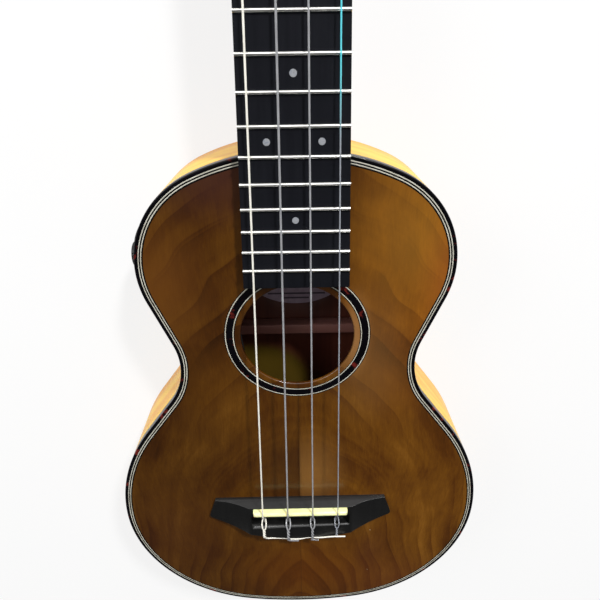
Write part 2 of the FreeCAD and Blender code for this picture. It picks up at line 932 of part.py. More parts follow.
def nut():
    high = fret_top + nut_lip
    block = box(-nut_width / 2, nut_width / 2, scale_length, scale_length + nut_thickness,
                deck, high)
    slope = box(-far, far, 0, nut_thickness * 2, 0, nut_thickness)
    slope.rotate(V(0, 0, 0), V(1, 0, 0), -nut_slope)
    slope.translate(V(0, scale_length + nut_thickness / 2, high))
    block = block.cut(slope)
    for index in range(4):
        points, bends = string_route(index)
        slot = string_radii[index] + string_gap
        groove = swept(points[1:], bends[1:], slot)
        block = block.cut(groove)
        rise = groove.copy()
        for lift in range(nut_slot_steps):
            rise.translate(V(0, 0, slot))
            block = block.cut(rise)
    return block


def veneer():
    sheet = on_head(head_plate(0, veneer_thickness))
    sheet = sheet.cut(box(-far, far, 0, head_start, 0, far))
    for number, side, x, y in machines:
        sheet = sheet.cut(on_head(cylinder(bushing_radius, V(x, y, -1), V(x, y, far / 10))))
    return sheet


# ---- machine heads, drawn flat on the head and tilted at the end
worm_offset = gear_radius + worm_radius + mesh_gap
gear_top = -head_thickness - housing_wall
gear_middle = gear_top - gear_thickness / 2 - gear_end_gap
housing_floor = -head_thickness - housing_depth


def post(x, y):
    low = housing_floor + housing_wall + gear_end_gap
    stem = cylinder(post_radius, V(x, y, low), V(x, y, post_height))
    turns = winding_turns * 2 * max(string_radii) + 2 * string_gap
    groove_top = winding_height + 2 * max(string_radii)
    groove_low = groove_top - turns - winding_room
    groove = tube(post_radius + 1, post_groove_radius, V(x, y, groove_low), V(x, y, groove_top))
    stem = stem.cut(groove)
    hole = groove_top + string_hole_rise
    stem = stem.cut(cylinder(string_hole_radius, V(x, y - 2 * post_radius, hole),
                             V(x, y + 2 * post_radius, hole)))
    low_gear = gear_middle - gear_thickness / 2
    wheel = tube(gear_radius, post_radius, V(x, y, low_gear), V(x, y, low_gear + gear_thickness))
    for tooth in range(gear_teeth):
        turn = 2 * math.pi * tooth / gear_teeth
        notch_x = x + gear_radius * math.cos(turn)
        notch_y = y + gear_radius * math.sin(turn)
        wheel = wheel.cut(cylinder(gear_tooth / 2, V(notch_x, notch_y, low_gear - 1),
                                   V(notch_x, notch_y, low_gear + gear_thickness + 1)))
    return [on_head(stem), on_head(wheel)]


def bushing(x, y):
    bore = post_radius + running_clearance
    low = V(x, y, -head_thickness)
    face = V(x, y, veneer_thickness)
    high = V(x, y, veneer_thickness + bushing_flange)
    return on_head(tube(bushing_radius, bore, low, high).fuse(
        tube(bushing_flange_radius, bore, face, high)).removeSplitter())


def ear_screw_y(y):
    """Place of the housing's screw, in the middle of its ear."""
    return y - housing_before_post - ear_length / 2


def ear_screw_shank(x, y):
    sy = ear_screw_y(y)
    head_low = -head_thickness - ear_thickness
    return cylinder(ear_screw_radius, V(x, sy, head_low), V(x, sy, head_low + ear_screw_length))


def ear_screw(x, y):
    sy = ear_screw_y(y)
    head_low = -head_thickness - ear_thickness
    cap = cylinder(ear_screw_head_radius, V(x, sy, head_low - ear_screw_head), V(x, sy, head_low))
    return on_head(cap.fuse(ear_screw_shank(x, y)).removeSplitter())


def housing(side, x, y):
    half = housing_width / 2
    far_end = y + worm_offset + worm_radius + housing_end_gap + housing_wall
    near_end = y - housing_before_post
    shell = box(x - half, x + half, near_end, far_end, housing_floor, -head_thickness)
    uprights = [edge for edge in shell.Edges
                if abs(edge.Vertexes[0].Point.z - edge.Vertexes[-1].Point.z) > 1]
    shell = shell.makeFillet(min(housing_round, half / 3), uprights)
    floor_edges = [edge for edge in shell.Edges if edge.BoundBox.ZMax < housing_floor + 0.01]
    shell = shell.makeFillet(min(housing_edge_round, housing_wall / 1.5), floor_edges)
    ear = box(x - ear_width / 2, x + ear_width / 2, near_end - ear_length,
              near_end + 2 * housing_wall, -head_thickness - ear_thickness, -head_thickness)
    shell = shell.fuse(ear).removeSplitter()
    cavity = box(x - half + housing_wall, x + half - housing_wall, near_end + housing_wall,
                 far_end - housing_wall, housing_floor + housing_wall, -head_thickness)
    shell = shell.cut(cavity).cut(ear_screw_shank(x, y))
    outward = V(x + side * (half + 1), y + worm_offset, gear_middle)
    shell = shell.cut(cylinder(shaft_radius + running_clearance,
                               V(x, y + worm_offset, gear_middle), outward))
    return on_head(shell)


def button_inner(side):
    return side * (head_end_half + button_gap)


def worm(side, x, y):
    """Worm, its shaft and the end screw that holds the button."""
    level = gear_middle
    line = y + worm_offset
    half = worm_length / 2
    thread = cylinder(worm_radius, V(x - half, line, level), V(x + half, line, level))
    count = int(worm_length / worm_pitch) - 1
    for turn in range(count):
        gx = x + (turn - (count - 1) / 2.0) * worm_pitch
        thread = thread.cut(tube(worm_radius + 1, worm_radius - worm_groove,
                                 V(gx - worm_groove / 2, line, level),
                                 V(gx + worm_groove / 2, line, level)))
    end_x = button_inner(side) + side * button_length
    shaft = cylinder(shaft_radius, V(x, line, level), V(end_x, line, level))
    cap = cylinder(key_screw_radius, V(end_x, line, level),
                   V(end_x + side * key_screw_head, line, level))
    return [on_head(fused([thread, shaft])), on_head(cap)]


def button(side, x, y):
    level = gear_middle
    line = y + worm_offset
    inner = button_inner(side)
    outer = inner + side * button_length
    collar = cylinder(shaft_radius + button_collar_wall, V(inner - side * button_collar, line, level),
                      V(inner + side, line, level))
    grip = box(min(inner, outer), max(inner, outer), line - button_width / 2,
               line + button_width / 2, level - button_thickness / 2,
               level + button_thickness / 2)
    grip = grip.makeFillet(button_round, [
        edge for edge in grip.Edges
        if abs(edge.Vertexes[0].Point.x - edge.Vertexes[-1].Point.x) > 1])
    grip = grip.makeFillet(min(button_end_round, 0.45 * button_round), [
        edge for edge in grip.Edges if edge.BoundBox.XLength < 0.01])
    knob = fused([grip, collar])
    return on_head(knob.cut(cylinder(shaft_radius, V(0, line, level), V(2 * outer, line, level))))


# ---- preamp
def panel_face(inner, outer):
    """Curved sheet that follows the bass side, between two offsets of the outline."""
    return plate(-outer, 0, body_depth).cut(plate(-inner, 0, body_depth)).common(bass_half)


def rounded_window(length, height, corner):
    window = side_box(length, height, -upper_bout, -upper_bout / 4)
    along = [edge for edge in window.Edges
             if abs(edge.Vertexes[0].Point.x - edge.Vertexes[-1].Point.x) > 1]
    return window.makeFillet(corner, along)


knob_y = panel_middle() + knob_offset
push_y = panel_middle() + push_offset
control_z = half_depth + control_height
panel_out = -upper_bout / 2 - panel_thickness
case_in = -upper_bout / 2 + case_depth
drawer_low = half_depth - panel_height / 2 + case_margin + case_wall + drawer_gap


def drawer_space(extra):
    """Slot of the battery drawer under the controls."""
    low = drawer_low
    half = drawer_width / 2 + extra
    return box(-upper_bout, -upper_bout / 2 + drawer_depth + extra, panel_middle() - half,
               panel_middle() + half, low - extra, low + drawer_height + extra)


def preamp_housing():
    flange = panel_face(0, panel_thickness).common(
        rounded_window(panel_length, panel_height, panel_corner))
    outer = case_hole(0).common(plate(-panel_thickness / 2, 0, body_depth))
    inner = side_box(panel_length - 2 * case_margin - 2 * case_wall,
                     panel_height - 2 * case_margin - 2 * case_wall, -upper_bout, case_in + 1)
    shell = outer.cut(inner.common(plate(side_thickness, 0, body_depth)))
    case = fused([flange, shell])
    case = case.cut(drawer_space(drawer_gap))
    case = case.cut(cylinder(knob_shaft_radius + running_clearance, V(-upper_bout, knob_y, control_z),
                             V(case_in + 1, knob_y, control_z)))
    return case.cut(cylinder(push_radius + running_clearance, V(-upper_bout, push_y, control_z),
                             V(case_in + 1, push_y, control_z)))


def circuit_board():
    half = (panel_length - 2 * case_margin - 2 * case_wall) / 2 - sheet_gap
    low = drawer_low + drawer_height + 2 * drawer_gap
    high = half_depth + panel_height / 2 - case_margin - case_wall - sheet_gap
    inner = case_in - sheet_from_end
    return box(inner - sheet_thickness, inner, panel_middle() - half, panel_middle() + half,
               low, high)


def volume_knob():
    base = side_x(knob_y) - panel_thickness - knob_gap
    base = min(base, panel_out - knob_gap)
    tip = base - knob_height
    cap = cylinder(knob_radius, V(base, knob_y, control_z), V(tip, knob_y, control_z))
    rims = [edge for edge in cap.Edges if edge.BoundBox.XMax < tip + 0.01]
    cap = cap.makeFillet(min(knob_edge_round, knob_height / 2), rims)
    for flute in range(knob_flutes):
        turn = 2 * math.pi * flute / knob_flutes
        y = knob_y + (knob_radius + knob_flute_out) * math.cos(turn)
        z = control_z + (knob_radius + knob_flute_out) * math.sin(turn)
        cap = cap.cut(cylinder(knob_flute_radius, V(base + 1, y, z), V(tip - 1, y, z)))
    shaft = cylinder(knob_shaft_radius, V(base, knob_y, control_z),
                     V(base + knob_shaft_length, knob_y, control_z))
    return fused([cap, shaft])


def push_button():
    face = side_x(push_y) - panel_thickness
    return cylinder(push_radius, V(face - push_out, push_y, control_z),
                    V(face + push_stem, push_y, control_z))


def battery_drawer():
    space = drawer_space(0)
    front = panel_face(-side_thickness, panel_thickness).common(space)
    tray = space.common(plate(side_thickness / 2, 0, body_depth))
    drawer = fused([tray, front])
    pocket = cylinder(coin_radius + coin_gap, coin_centre(drawer_floor),
                      coin_centre(drawer_height + 1))
    return drawer.cut(pocket)


def coin_centre(rise):
    return V(-upper_bout / 2 + drawer_depth - coin_radius - coin_wall, panel_middle(),
             drawer_low + rise)


def coin_cell():
    return cylinder(coin_radius, coin_centre(drawer_floor),
                    coin_centre(drawer_floor + coin_thickness))


# ---- output jack
def jack_axis(reach):
    return V(0, tail_end + reach, half_depth)


def output_jack():
    outer_end = jack_axis(-jack_reach)
    barrel = cylinder(jack_radius, jack_axis(jack_length - jack_reach), jack_axis(0))
    neck_part = cylinder(jack_neck_radius, jack_axis(-jack_washer),
                         jack_axis(-jack_reach + jack_flange))
    flange = cylinder(jack_flange_radius, jack_axis(-jack_reach + jack_flange), outer_end)
    core = cylinder(jack_radius, jack_axis(-jack_washer), jack_axis(0))
    body = fused([barrel, core, neck_part, flange])
    depth = jack_length - jack_reach - jack_end_wall
    return body.cut(cylinder(jack_bore, outer_end, jack_axis(depth)))


def jack_nuts():
    washer = tube(jack_nut_radius, jack_radius, jack_axis(-jack_washer), jack_axis(0))
    washer = washer.cut(plate(0, -1, body_depth + 1))
    flat = []
    for corner in range(7):
        turn = math.pi / 3 * corner
        flat.append(V(jack_nut_radius * math.cos(turn), tail_end + tail_block_depth,
                      half_depth + jack_nut_radius * math.sin(turn)))
    nut_body = Part.Face(Part.makePolygon(flat)).extrude(V(0, jack_nut_thickness, 0))
    nut_body = nut_body.cut(cylinder(jack_radius, jack_axis(0), jack_axis(jack_length)))
    return [washer, nut_body]


def leads():
    """Pickup lead to the preamp, and the lead from the preamp to the jack."""
    hole_x = -saddle_length / 2 + 2 * lead_radius
    low = deck_under - brace_height - 4 * lead_radius
    case_end = case_in + lead_gap
    jack_in = tail_end + jack_length - jack_reach
    pickup_y = panel_middle() + pickup_lead_shift
    jack_y = panel_middle() + jack_lead_shift
    jack_z = control_z + jack_lead_rise
    first = [
        V(hole_x, saddle_y, deck + saddle_slot_floor),
        V(hole_x, saddle_y, low),
        V(case_end + pickup_lead_sweep, waist_y - pickup_lead_sweep, low),
        V(case_end + pickup_lead_exit, pickup_y, control_z),
        V(case_end, pickup_y, control_z),
    ]
    second = [
        V(0, jack_in, half_depth),
        V(0, jack_in + jack_lead_straight, half_depth),
        V(case_end + jack_lead_sweep, waist_y - jack_lead_turn, half_depth - jack_lead_rise),
        V(case_end + jack_lead_exit, jack_y, jack_z),
        V(case_end, jack_y, jack_z),
    ]
    solids = []
    for route in (first, second):
        bends = []
        for index in range(1, len(route) - 1):
            before = route[index].sub(route[index - 1])
            after = route[index + 1].sub(route[index])
            turn = before.getAngle(after)
            shorter = min(before.Length, after.Length)
            bends.append(min(lead_bend, 0.45 * shorter / math.tan(turn / 2)))
        solids.append(swept(route, bends, lead_radius))
    return solids


def main():
    os.makedirs("parts", exist_ok=True)
    bass_side, treble_side = sides()
    white_lines, black_lines = purfling()
    rings = rosette()
    save("soundboard", [soundboard()])
    save("back", [plate(binding_width, 0, back_thickness)])
    save("side_bass", [bass_side])
    save("side_treble", [treble_side])
    save("neck_block", [neck_block()])
    save("tail_block", [tail_block()])
    save("linings", linings())
    save("top_binding", [rim(0, binding_width, deck - top_binding_height, deck)])
    save("back_binding", [rim(0, binding_width, 0, back_binding_height)])
    save("purfling_white", white_lines)
    save("purfling_black", black_lines)
    save("rosette_band", [rings[2]])
    save("rosette_white", [rings[1], rings[3]])
    save("rosette_black", [rings[0], rings[4]])
    save("top_braces", top_braces())
    save("bridge_plate", [bridge_plate()])
    save("back_braces", back_braces())
    save("label", [paper_label()])
    save("bridge", [bridge()])
    save("saddle", [saddle()])
    save("pickup_strip", [pickup_strip()])
    save("pickup_leads", leads())
    save("neck", [neck()])
    save("heel_cap", [heel_cap()])
    save("head_veneer", [veneer()])
    save("fretboard", [fretboard()])
    save("frets", frets())
    save("position_dots", dots() + side_dots())
    save("nut", [nut()])
    for index in range(4):
        save("string_" + string_names[index], string_solids(index))
    bushings = []
    screws = []
    for number, side, x, y in machines:
        label = "tuner_" + str(number)
        save(label + "_housing", [housing(side, x, y)])
        save(label + "_worm", worm(side, x, y))
        save(label + "_button", [button(side, x, y)])
        save(label + "_post", post(x, y))
        bushings.append(bushing(x, y))
        screws.append(ear_screw(x, y))
    save("tuner_bushings", bushings)
    save("tuner_screws", screws)
    save("preamp_housing", [preamp_housing()])
    save("circuit_board", [circuit_board()])
    save("volume_knob", [volume_knob()])
    save("tune_button", [push_button()])
    save("battery_drawer", [battery_drawer()])
    save("coin_cell", [coin_cell()])
    save("output_jack", [output_jack()])
    save("jack_nuts", jack_nuts())


main()
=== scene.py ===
"""Concert ukulele lying on its back: finishes, trim, strings and a plain studio.

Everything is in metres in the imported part's frame: +X is the treble side, +Y runs
towards the head and +Z comes out of the soundboard, with the back on z = 0.
"""

import json
import math

import bmesh
import bpy
from mathutils import Matrix, Vector

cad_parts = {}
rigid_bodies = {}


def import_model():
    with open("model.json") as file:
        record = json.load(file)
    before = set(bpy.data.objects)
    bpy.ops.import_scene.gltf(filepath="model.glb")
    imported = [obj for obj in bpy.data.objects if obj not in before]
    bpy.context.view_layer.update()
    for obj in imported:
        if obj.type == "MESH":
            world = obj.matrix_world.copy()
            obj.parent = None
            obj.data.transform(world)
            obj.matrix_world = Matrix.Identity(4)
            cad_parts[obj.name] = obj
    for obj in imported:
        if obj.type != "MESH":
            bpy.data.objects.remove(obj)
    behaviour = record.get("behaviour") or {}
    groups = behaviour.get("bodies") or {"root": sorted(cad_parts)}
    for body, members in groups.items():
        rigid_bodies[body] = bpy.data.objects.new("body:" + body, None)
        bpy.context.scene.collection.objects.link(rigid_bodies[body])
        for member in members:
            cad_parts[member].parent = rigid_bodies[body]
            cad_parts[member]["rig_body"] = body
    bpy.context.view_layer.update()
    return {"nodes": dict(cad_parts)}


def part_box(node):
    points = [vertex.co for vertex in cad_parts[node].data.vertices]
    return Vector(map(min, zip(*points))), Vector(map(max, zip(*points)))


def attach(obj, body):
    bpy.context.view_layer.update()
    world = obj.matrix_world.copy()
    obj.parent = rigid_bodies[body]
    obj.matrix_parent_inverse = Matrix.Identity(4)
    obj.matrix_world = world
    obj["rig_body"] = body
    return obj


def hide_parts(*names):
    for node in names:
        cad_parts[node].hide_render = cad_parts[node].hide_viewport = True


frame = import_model()
nodes = frame["nodes"]
MM = 0.001

# ---- sizes of the body and its trim
lower_bout = 198.0 * MM
waist = 114.0 * MM
upper_bout = 142.0 * MM
lower_bout_from_tail = 82.0 * MM
waist_from_top = 101.0 * MM
upper_bout_from_top = 51.0 * MM
tail_radius = 195.0 * MM
shoulder_radius = 108.0 * MM
waist_radius_lower = 37.0 * MM
waist_radius_upper = 31.0 * MM
flank_lower = 25.0 * MM
flank_upper = 24.0 * MM
side_thickness = 2.2 * MM
back_thickness = 2.2 * MM
binding_width = 1.8 * MM
top_binding_height = 5.0 * MM
back_binding_height = 4.0 * MM
purfling_widths = [0.45 * MM, 0.65 * MM, 0.45 * MM, 0.65 * MM]
purfling_depth = 1.2 * MM
rosette_inner_radius = 29.6 * MM
rosette_widths = [0.4 * MM, 0.45 * MM, 3.2 * MM, 0.45 * MM, 0.4 * MM]
rosette_depth = 1.0 * MM
lining_width = 4.8 * MM
lining_height = 10.0 * MM
kerf_pitch = 5.6 * MM
kerf_block = 4.6 * MM
hole_radius = 26.8 * MM

# ---- sizes of the scale, frets and strings
scale_length = 380.0 * MM
fret_count = 17
fret_crown = 1.5 * MM
fret_inset = 0.1 * MM
fret_tang = 0.5 * MM
tang_depth = 1.8 * MM
nut_width = 34.4 * MM
width_at_joint = 43.6 * MM
body_fret = 12
dot_radius = 1.4 * MM
dot_frets = [5, 7, 10, 15]
double_dot_frets = [12]
double_dot_spread = 10.6 * MM
side_dot_radius = 1.0 * MM
string_names = ["g", "c", "e", "a"]
string_radii = [0.42 * MM, 0.46 * MM, 0.40 * MM, 0.32 * MM]
saddle_spacing = 13.7 * MM
nut_spacing = 9.5 * MM
nut_thickness = 5.0 * MM
nut_seat = 0.35 * MM
action = 2.1 * MM
string_gap = 0.04 * MM
# where the painted reflection on the thin string fades in and out along the neck
glint_rise = (192.0 * MM, 226.0 * MM)
glint_fall = (275.0 * MM, 245.0 * MM)

# ---- sizes of the bridge, where the strings are tied
bridge_height = 7.2 * MM
saddle_setback = 1.8 * MM
saddle_thickness = 2.6 * MM
tie_block_depth = 10.4 * MM
tie_hole_height = 3.6 * MM
channel_gap = 2.6 * MM
bridge_sag = 13.1 * MM
bridge_middle_half = 27.8 * MM
tip_rounding = 2.4 * MM
brow_rounding = 2.0 * MM
# free ends behind the tie block, in millimetres from the block's rear top edge
tag_ends = [
    [(0.3, 0.6, 0.5), (1.5, -0.7, 0.0), (5.0, -1.4, -0.6), (10.5, -2.0, -0.9), (16.0, -2.0, -0.2),
     (20.0, -1.9, -0.1), (25.0, -1.0, -0.3), (29.5, -0.9, 0.1), (33.5, -0.3, 0.5),
     (38.0, 0.5, 0.8), (41.0, 0.8, 1.0), (46.0, 0.7, 1.0)],
    [(0.2, 0.5, 0.5), (-0.4, -0.8, 0.0), (0.6, -2.2, -0.9), (2.4, -2.6, -1.0), (4.2, -1.9, -0.4),
     (5.6, -1.2, 0.3)],
    [(0.2, 0.5, 0.5), (-0.7, -0.9, 0.0), (-0.3, -2.2, -0.9), (1.2, -2.7, -1.2),
     (2.6, -2.2, -0.6), (3.2, -1.1, 0.2)],
    [(0.2, 0.5, 0.4), (-0.2, -0.6, -0.2), (0.3, -0.9, -1.2), (1.0, -0.8, -1.8)],
]
stub_ends = [(0.4 * MM, -4.6 * MM, 0.5 * MM), (0.0, -2.6 * MM, 0.05 * MM), (0.0, 0.0, 0.0),
             (0.0, 2.6 * MM, 0.05 * MM), (-0.5 * MM, 5.0 * MM, 0.9 * MM),
             (-0.4 * MM, 6.4 * MM, 2.0 * MM)]

# ---- sizes of the head and its posts
head_angle = 10.0
post_side = 17.5 * MM
post_places = [44.0 * MM, 94.0 * MM]
post_groove_radius = 2.5 * MM
winding_height = 7.0 * MM
winding_gap = 0.25 * MM
winding_turns = 3
string_hole_height = 9.5 * MM

# ---- places read from the frame
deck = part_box("soundboard")[1].z
board_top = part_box("fretboard")[1].z
fret_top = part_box("frets")[1].z
tail_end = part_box("top_binding")[0].y
top_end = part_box("top_binding")[1].y
lower_y = tail_end + lower_bout_from_tail
waist_y = top_end - waist_from_top
upper_y = top_end - upper_bout_from_top
hole_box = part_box("rosette_black")
hole_y = (hole_box[0].y + hole_box[1].y) / 2
bridge_low, bridge_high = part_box("bridge")
bridge_top = deck + bridge_height
block_front = bridge_low.y + tie_block_depth


# ---- small helpers for meshes
def link(thing):
    bpy.context.scene.collection.objects.link(thing)
    return thing


def settle(piece, node, slot, *more):
    """Let a finished piece ride with a node's body and stand for that node."""
    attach(piece, nodes[node]["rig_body"])
    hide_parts(node, *more)
    return piece


def smooth_by_angle(shape, crease):
    """Smooth faces, with the edges sharper than crease degrees kept crisp."""
    for face in shape.faces:
        face.smooth = True
    for edge in shape.edges:
        edge.smooth = edge.calc_face_angle(0) < math.radians(crease)


def plain_mesh(name, shape, material):
    """An object with one material from a bmesh, which is used up."""
    mesh = bpy.data.meshes.new(name)
    shape.to_mesh(mesh)
    shape.free()
    if "custom_normal" in mesh.attributes:
        mesh.attributes.remove(mesh.attributes["custom_normal"])
    mesh.materials.clear()
    mesh.materials.append(material)
    return link(bpy.data.objects.new(name, mesh))


def skin(node, material, slot, rounding=0.0, chosen=None, segments=3, crease=30.0,
         larger=()):
    """A node's solid as one clean mesh, with chosen sharp edges rounded over.

    larger lists other edges to round first, as pairs of a radius and a chooser.
    """
    shape = bmesh.new()
    shape.from_mesh(nodes[node].data)
    bmesh.ops.remove_doubles(shape, verts=shape.verts, dist=2e-6)
    bmesh.ops.dissolve_limit(shape, angle_limit=math.radians(0.3), verts=shape.verts,
                             edges=shape.edges)
    for radius, wanted in list(larger) + [(rounding, chosen)] * bool(rounding):
        sharp = [edge for edge in shape.edges
                 if edge.calc_face_angle(0) > math.radians(crease)
                 and (wanted is None or wanted(edge))]
        bmesh.ops.bevel(shape, geom=sharp, offset=radius, offset_type="OFFSET",
                        segments=segments, profile=0.5, affect="EDGES", clamp_overlap=True)
    smooth_by_angle(shape, crease)
    return settle(plain_mesh(node + "_skin", shape, material), node, slot)


def mesh_piece(name, shape, material, crease=30.0):
    """An object from a closed bmesh, with its faces turned outwards."""
    bmesh.ops.recalc_face_normals(shape, faces=shape.faces)
    smooth_by_angle(shape, crease)
    return plain_mesh(name, shape, material)


def lofted(name, rings, material):
    """A closed solid through rings that have the same number of points."""
    shape = bmesh.new()
    loops = [[shape.verts.new(point) for point in ring] for ring in rings]
    for lower, upper in zip(loops, loops[1:]):
        for k in range(len(lower)):
            after = (k + 1) % len(lower)
            shape.faces.new([lower[k], lower[after], upper[after], upper[k]])
    shape.faces.new(loops[-1])
    shape.faces.new(list(reversed(loops[0])))
    return mesh_piece(name, shape, material)


# ---- small helpers for node trees
class Building:
    """The node tree that new nodes go into."""
    tree = None


class Signal:
    """What one node hands to the next; arithmetic and comparing add Math nodes."""

    def __init__(self, socket):
        self.socket = socket

    def __add__(self, other):
        return calc("ADD", self, other)

    def __sub__(self, other):
        return calc("SUBTRACT", self, other)

    def __mul__(self, other):
        return calc("MULTIPLY", self, other)

    def __truediv__(self, other):
        return calc("DIVIDE", self, other)

    def __lt__(self, other):
        return calc("LESS_THAN", self, other)

    def __gt__(self, other):
        return calc("GREATER_THAN", self, other)


class Outputs:
    """A node's outputs as signals; by itself it stands for the first of them."""

    def __init__(self, node):
        self.node = node

    def __getitem__(self, key):
        return Signal(self.node.outputs[key])


def feed(socket, value):
    """Link a signal to a socket, or set the socket's own value."""
    if isinstance(value, Outputs):
        value = value[0]
    if isinstance(value, Signal):
        Building.tree.links.new(value.socket, socket)
    else:
        socket.default_value = value


def put(kind, feeds=None, **settings):
    """Add a node, set its options and feed its inputs."""
    node = Building.tree.nodes.new(kind)
    for key, value in settings.items():
        setattr(node, key, value)
    for key, value in (feeds or {}).items():
        feed(node.inputs[key], value)
    return Outputs(node)


def group(name, kind, inputs, build):
    """A shared tree; build takes its inputs and returns its named results.

    Each input is named with its own value, or with its kind where it has none.
    """
    tree = Building.tree = bpy.data.node_groups.new(name, kind)
    for title, value in inputs.items():
        bare = isinstance(value, str)
        if bare:
            socket = value
        elif isinstance(value, tuple):
            socket = "Vector" if len(value) == 3 else "Color"
        else:
            socket = "Int" if isinstance(value, int) else "Float"
        item = tree.interface.new_socket(title, in_out="INPUT",
                                         socket_type="NodeSocket" + socket)
        if not bare:
            item.default_value = value
    results = build(Outputs(tree.nodes.new("NodeGroupInput")))
    usual = "Geometry" if kind == "GeometryNodeTree" else "Float"
    for title in results:
        tree.interface.new_socket(
            title, in_out="OUTPUT",
            socket_type="NodeSocket" + ("Color" if title == "Color" else usual))
    end = tree.nodes.new("NodeGroupOutput")
    for title, value in results.items():
        feed(end.inputs[title], value)
    return tree


def calc(operation, a, b=0.0, c=0.0, clamp=False):
    return put("ShaderNodeMath", {0: a, 1: b, 2: c}, operation=operation, use_clamp=clamp)[0]


def combine(x=0.0, y=0.0, z=0.0):
    return put("ShaderNodeCombineXYZ", {"X": x, "Y": y, "Z": z})[0]


def part(vector, axis):
    """One coordinate of a vector."""
    return put("ShaderNodeSeparateXYZ", {0: vector})[axis]


def vec(operation, *values, result=0):
    """Vector arithmetic."""
    return put("ShaderNodeVectorMath", dict(enumerate(values)), operation=operation)[result]


def stored(name):
    """A number that the mesh holds for each of its points."""
    return put("ShaderNodeAttribute", attribute_name=name)["Fac"]


def grown(tree, holder, name, material, crease=30.0, **values):
    """Run a Geometry Nodes tree on a holder and keep the result as a plain mesh object."""
    modifier = holder.modifiers.new("grow", "NODES")
    modifier.node_group = tree
    values["Finish"] = material
    for item in tree.interface.items_tree:
        if item.in_out == "INPUT" and item.name in values:
            modifier[item.identifier] = values[item.name]
    graph = bpy.context.evaluated_depsgraph_get()
    mesh = bpy.data.meshes.new_from_object(holder.evaluated_get(graph),
                                           preserve_all_data_layers=True, depsgraph=graph)
    bpy.data.objects.remove(holder)
    shape = bmesh.new()
    shape.from_mesh(mesh)
    bpy.data.meshes.remove(mesh)
    bmesh.ops.remove_doubles(shape, verts=shape.verts, dist=1e-7)
    return mesh_piece(name, shape, material, crease)


def path_holder(name, points, closed=False, smooth=False):
    """A curve for a tree to follow: straight short steps, or one smooth open line."""
    curve = bpy.data.curves.new(name, "CURVE")
    curve.dimensions = "3D"
    spline = curve.splines.new("NURBS" if smooth else "POLY")
    spline.points.add(len(points) - 1)
    for slot, point in zip(spline.points, points):
        slot.co = (point[0], point[1], point[2], 1)
    spline.use_cyclic_u = closed
    if smooth:
        curve.resolution_u = 10
        spline.order_u = 3
        spline.use_endpoint_u = True
    return link(bpy.data.objects.new(name, curve))


# ---- the body's outline: tangent arcs from the tail round to the neck end
def corner_radius(half, reach, end_radius):
    """Radius that joins a bout's widest point to the arc at the body's end."""
    return (2 * reach * end_radius - half ** 2 - reach ** 2) / (2 * (end_radius - half))


def bout_radius(step, rise, flank, waist_radius):
    """Radius of a bout on the waist's side, joined to the waist by a short straight."""
    return (step ** 2 + rise ** 2 - flank ** 2) / (2 * step) - waist_radius


def half_arcs(inset):
    """(centre, radius, start angle, end angle) of the right half, tail to neck end."""
    lower_half = lower_bout / 2
    upper_half = upper_bout / 2
    waist_half = waist / 2
    tail_corner = corner_radius(lower_half, lower_y - tail_end, tail_radius)
    neck_corner = corner_radius(upper_half, top_end - upper_y, shoulder_radius)
    lower_flank = bout_radius(lower_half - waist_half, waist_y - lower_y, flank_lower,
                              waist_radius_lower)
    upper_flank = bout_radius(upper_half - waist_half, upper_y - waist_y, flank_upper,
                              waist_radius_upper)
    tail = Vector((0, tail_end + tail_radius))
    low_corner = Vector((lower_half - tail_corner, lower_y))
    lower = Vector((lower_half - lower_flank, lower_y))
    waist_low = Vector((waist_half + waist_radius_lower, waist_y))
    waist_high = Vector((waist_half + waist_radius_upper, waist_y))
    upper = Vector((upper_half - upper_flank, upper_y))
    high_corner = Vector((upper_half - neck_corner, upper_y))
    neck = Vector((0, top_end - shoulder_radius))

    def heading(a, b):
        return math.atan2(b.y - a.y, b.x - a.x)

    def swing(a, b, reach):
        return math.acos(min(1, reach / (b - a).length))

    tail_turn = heading(tail, low_corner)
    low_turn = heading(lower, waist_low) - swing(lower, waist_low,
                                                 lower_flank + waist_radius_lower)
    high_turn = heading(waist_high, upper) + swing(waist_high, upper,
                                                   upper_flank + waist_radius_upper)
    neck_turn = heading(neck, high_corner)
    return [
        (tail, tail_radius - inset, -math.pi / 2, tail_turn),
        (low_corner, tail_corner - inset, tail_turn, 0),
        (lower, lower_flank - inset, 0, low_turn),
        (waist_low, waist_radius_lower + inset, low_turn + math.pi, math.pi),
        (waist_high, waist_radius_upper + inset, math.pi, high_turn),
        (upper, upper_flank - inset, high_turn - math.pi, 0),
        (high_corner, neck_corner - inset, 0, neck_turn),
        (neck, shoulder_radius - inset, neck_turn, math.pi / 2),
    ]


def half_outline(inset, z, step=1.2 * MM):
    """Points along the right half of the outline, from the tail to the neck end."""
    points = []
    for centre, radius, start, end in half_arcs(inset):
        count = max(2, round(abs(end - start) * radius / step))
        for index in range(count + 1):
            turn = start + (end - start) * index / count
            point = Vector((centre.x + radius * math.cos(turn),
                            centre.y + radius * math.sin(turn), z))
            if not points or (point - points[-1]).length > step / 5:
                points.append(point)
    return points


def outline(inset, z):
    """Points all round the body, right side first."""
    right = half_outline(inset, z)
    left = [Vector((-point.x, point.y, z)) for point in reversed(right[1:-1])]
    return right + left


# ---- Geometry Nodes trees
def finished(given, geometry):
    """Make a tree's copies real and give them their finish."""
    real = put("GeometryNodeRealizeInstances", {"Geometry": geometry})
    return put("GeometryNodeSetMaterial", {"Geometry": real, "Material": given["Finish"]})


def swept(path, profile):
    """A profile carried along a path, with each point's distance along it stored."""
    travel = put("GeometryNodeSplineParameter")["Length"]
    marked = put("GeometryNodeStoreNamedAttribute",
                 {"Geometry": path, "Name": "along", "Value": travel},
                 data_type="FLOAT", domain="POINT")
    return put("GeometryNodeCurveToMesh",
               {"Curve": marked, "Profile Curve": profile, "Fill Caps": True})


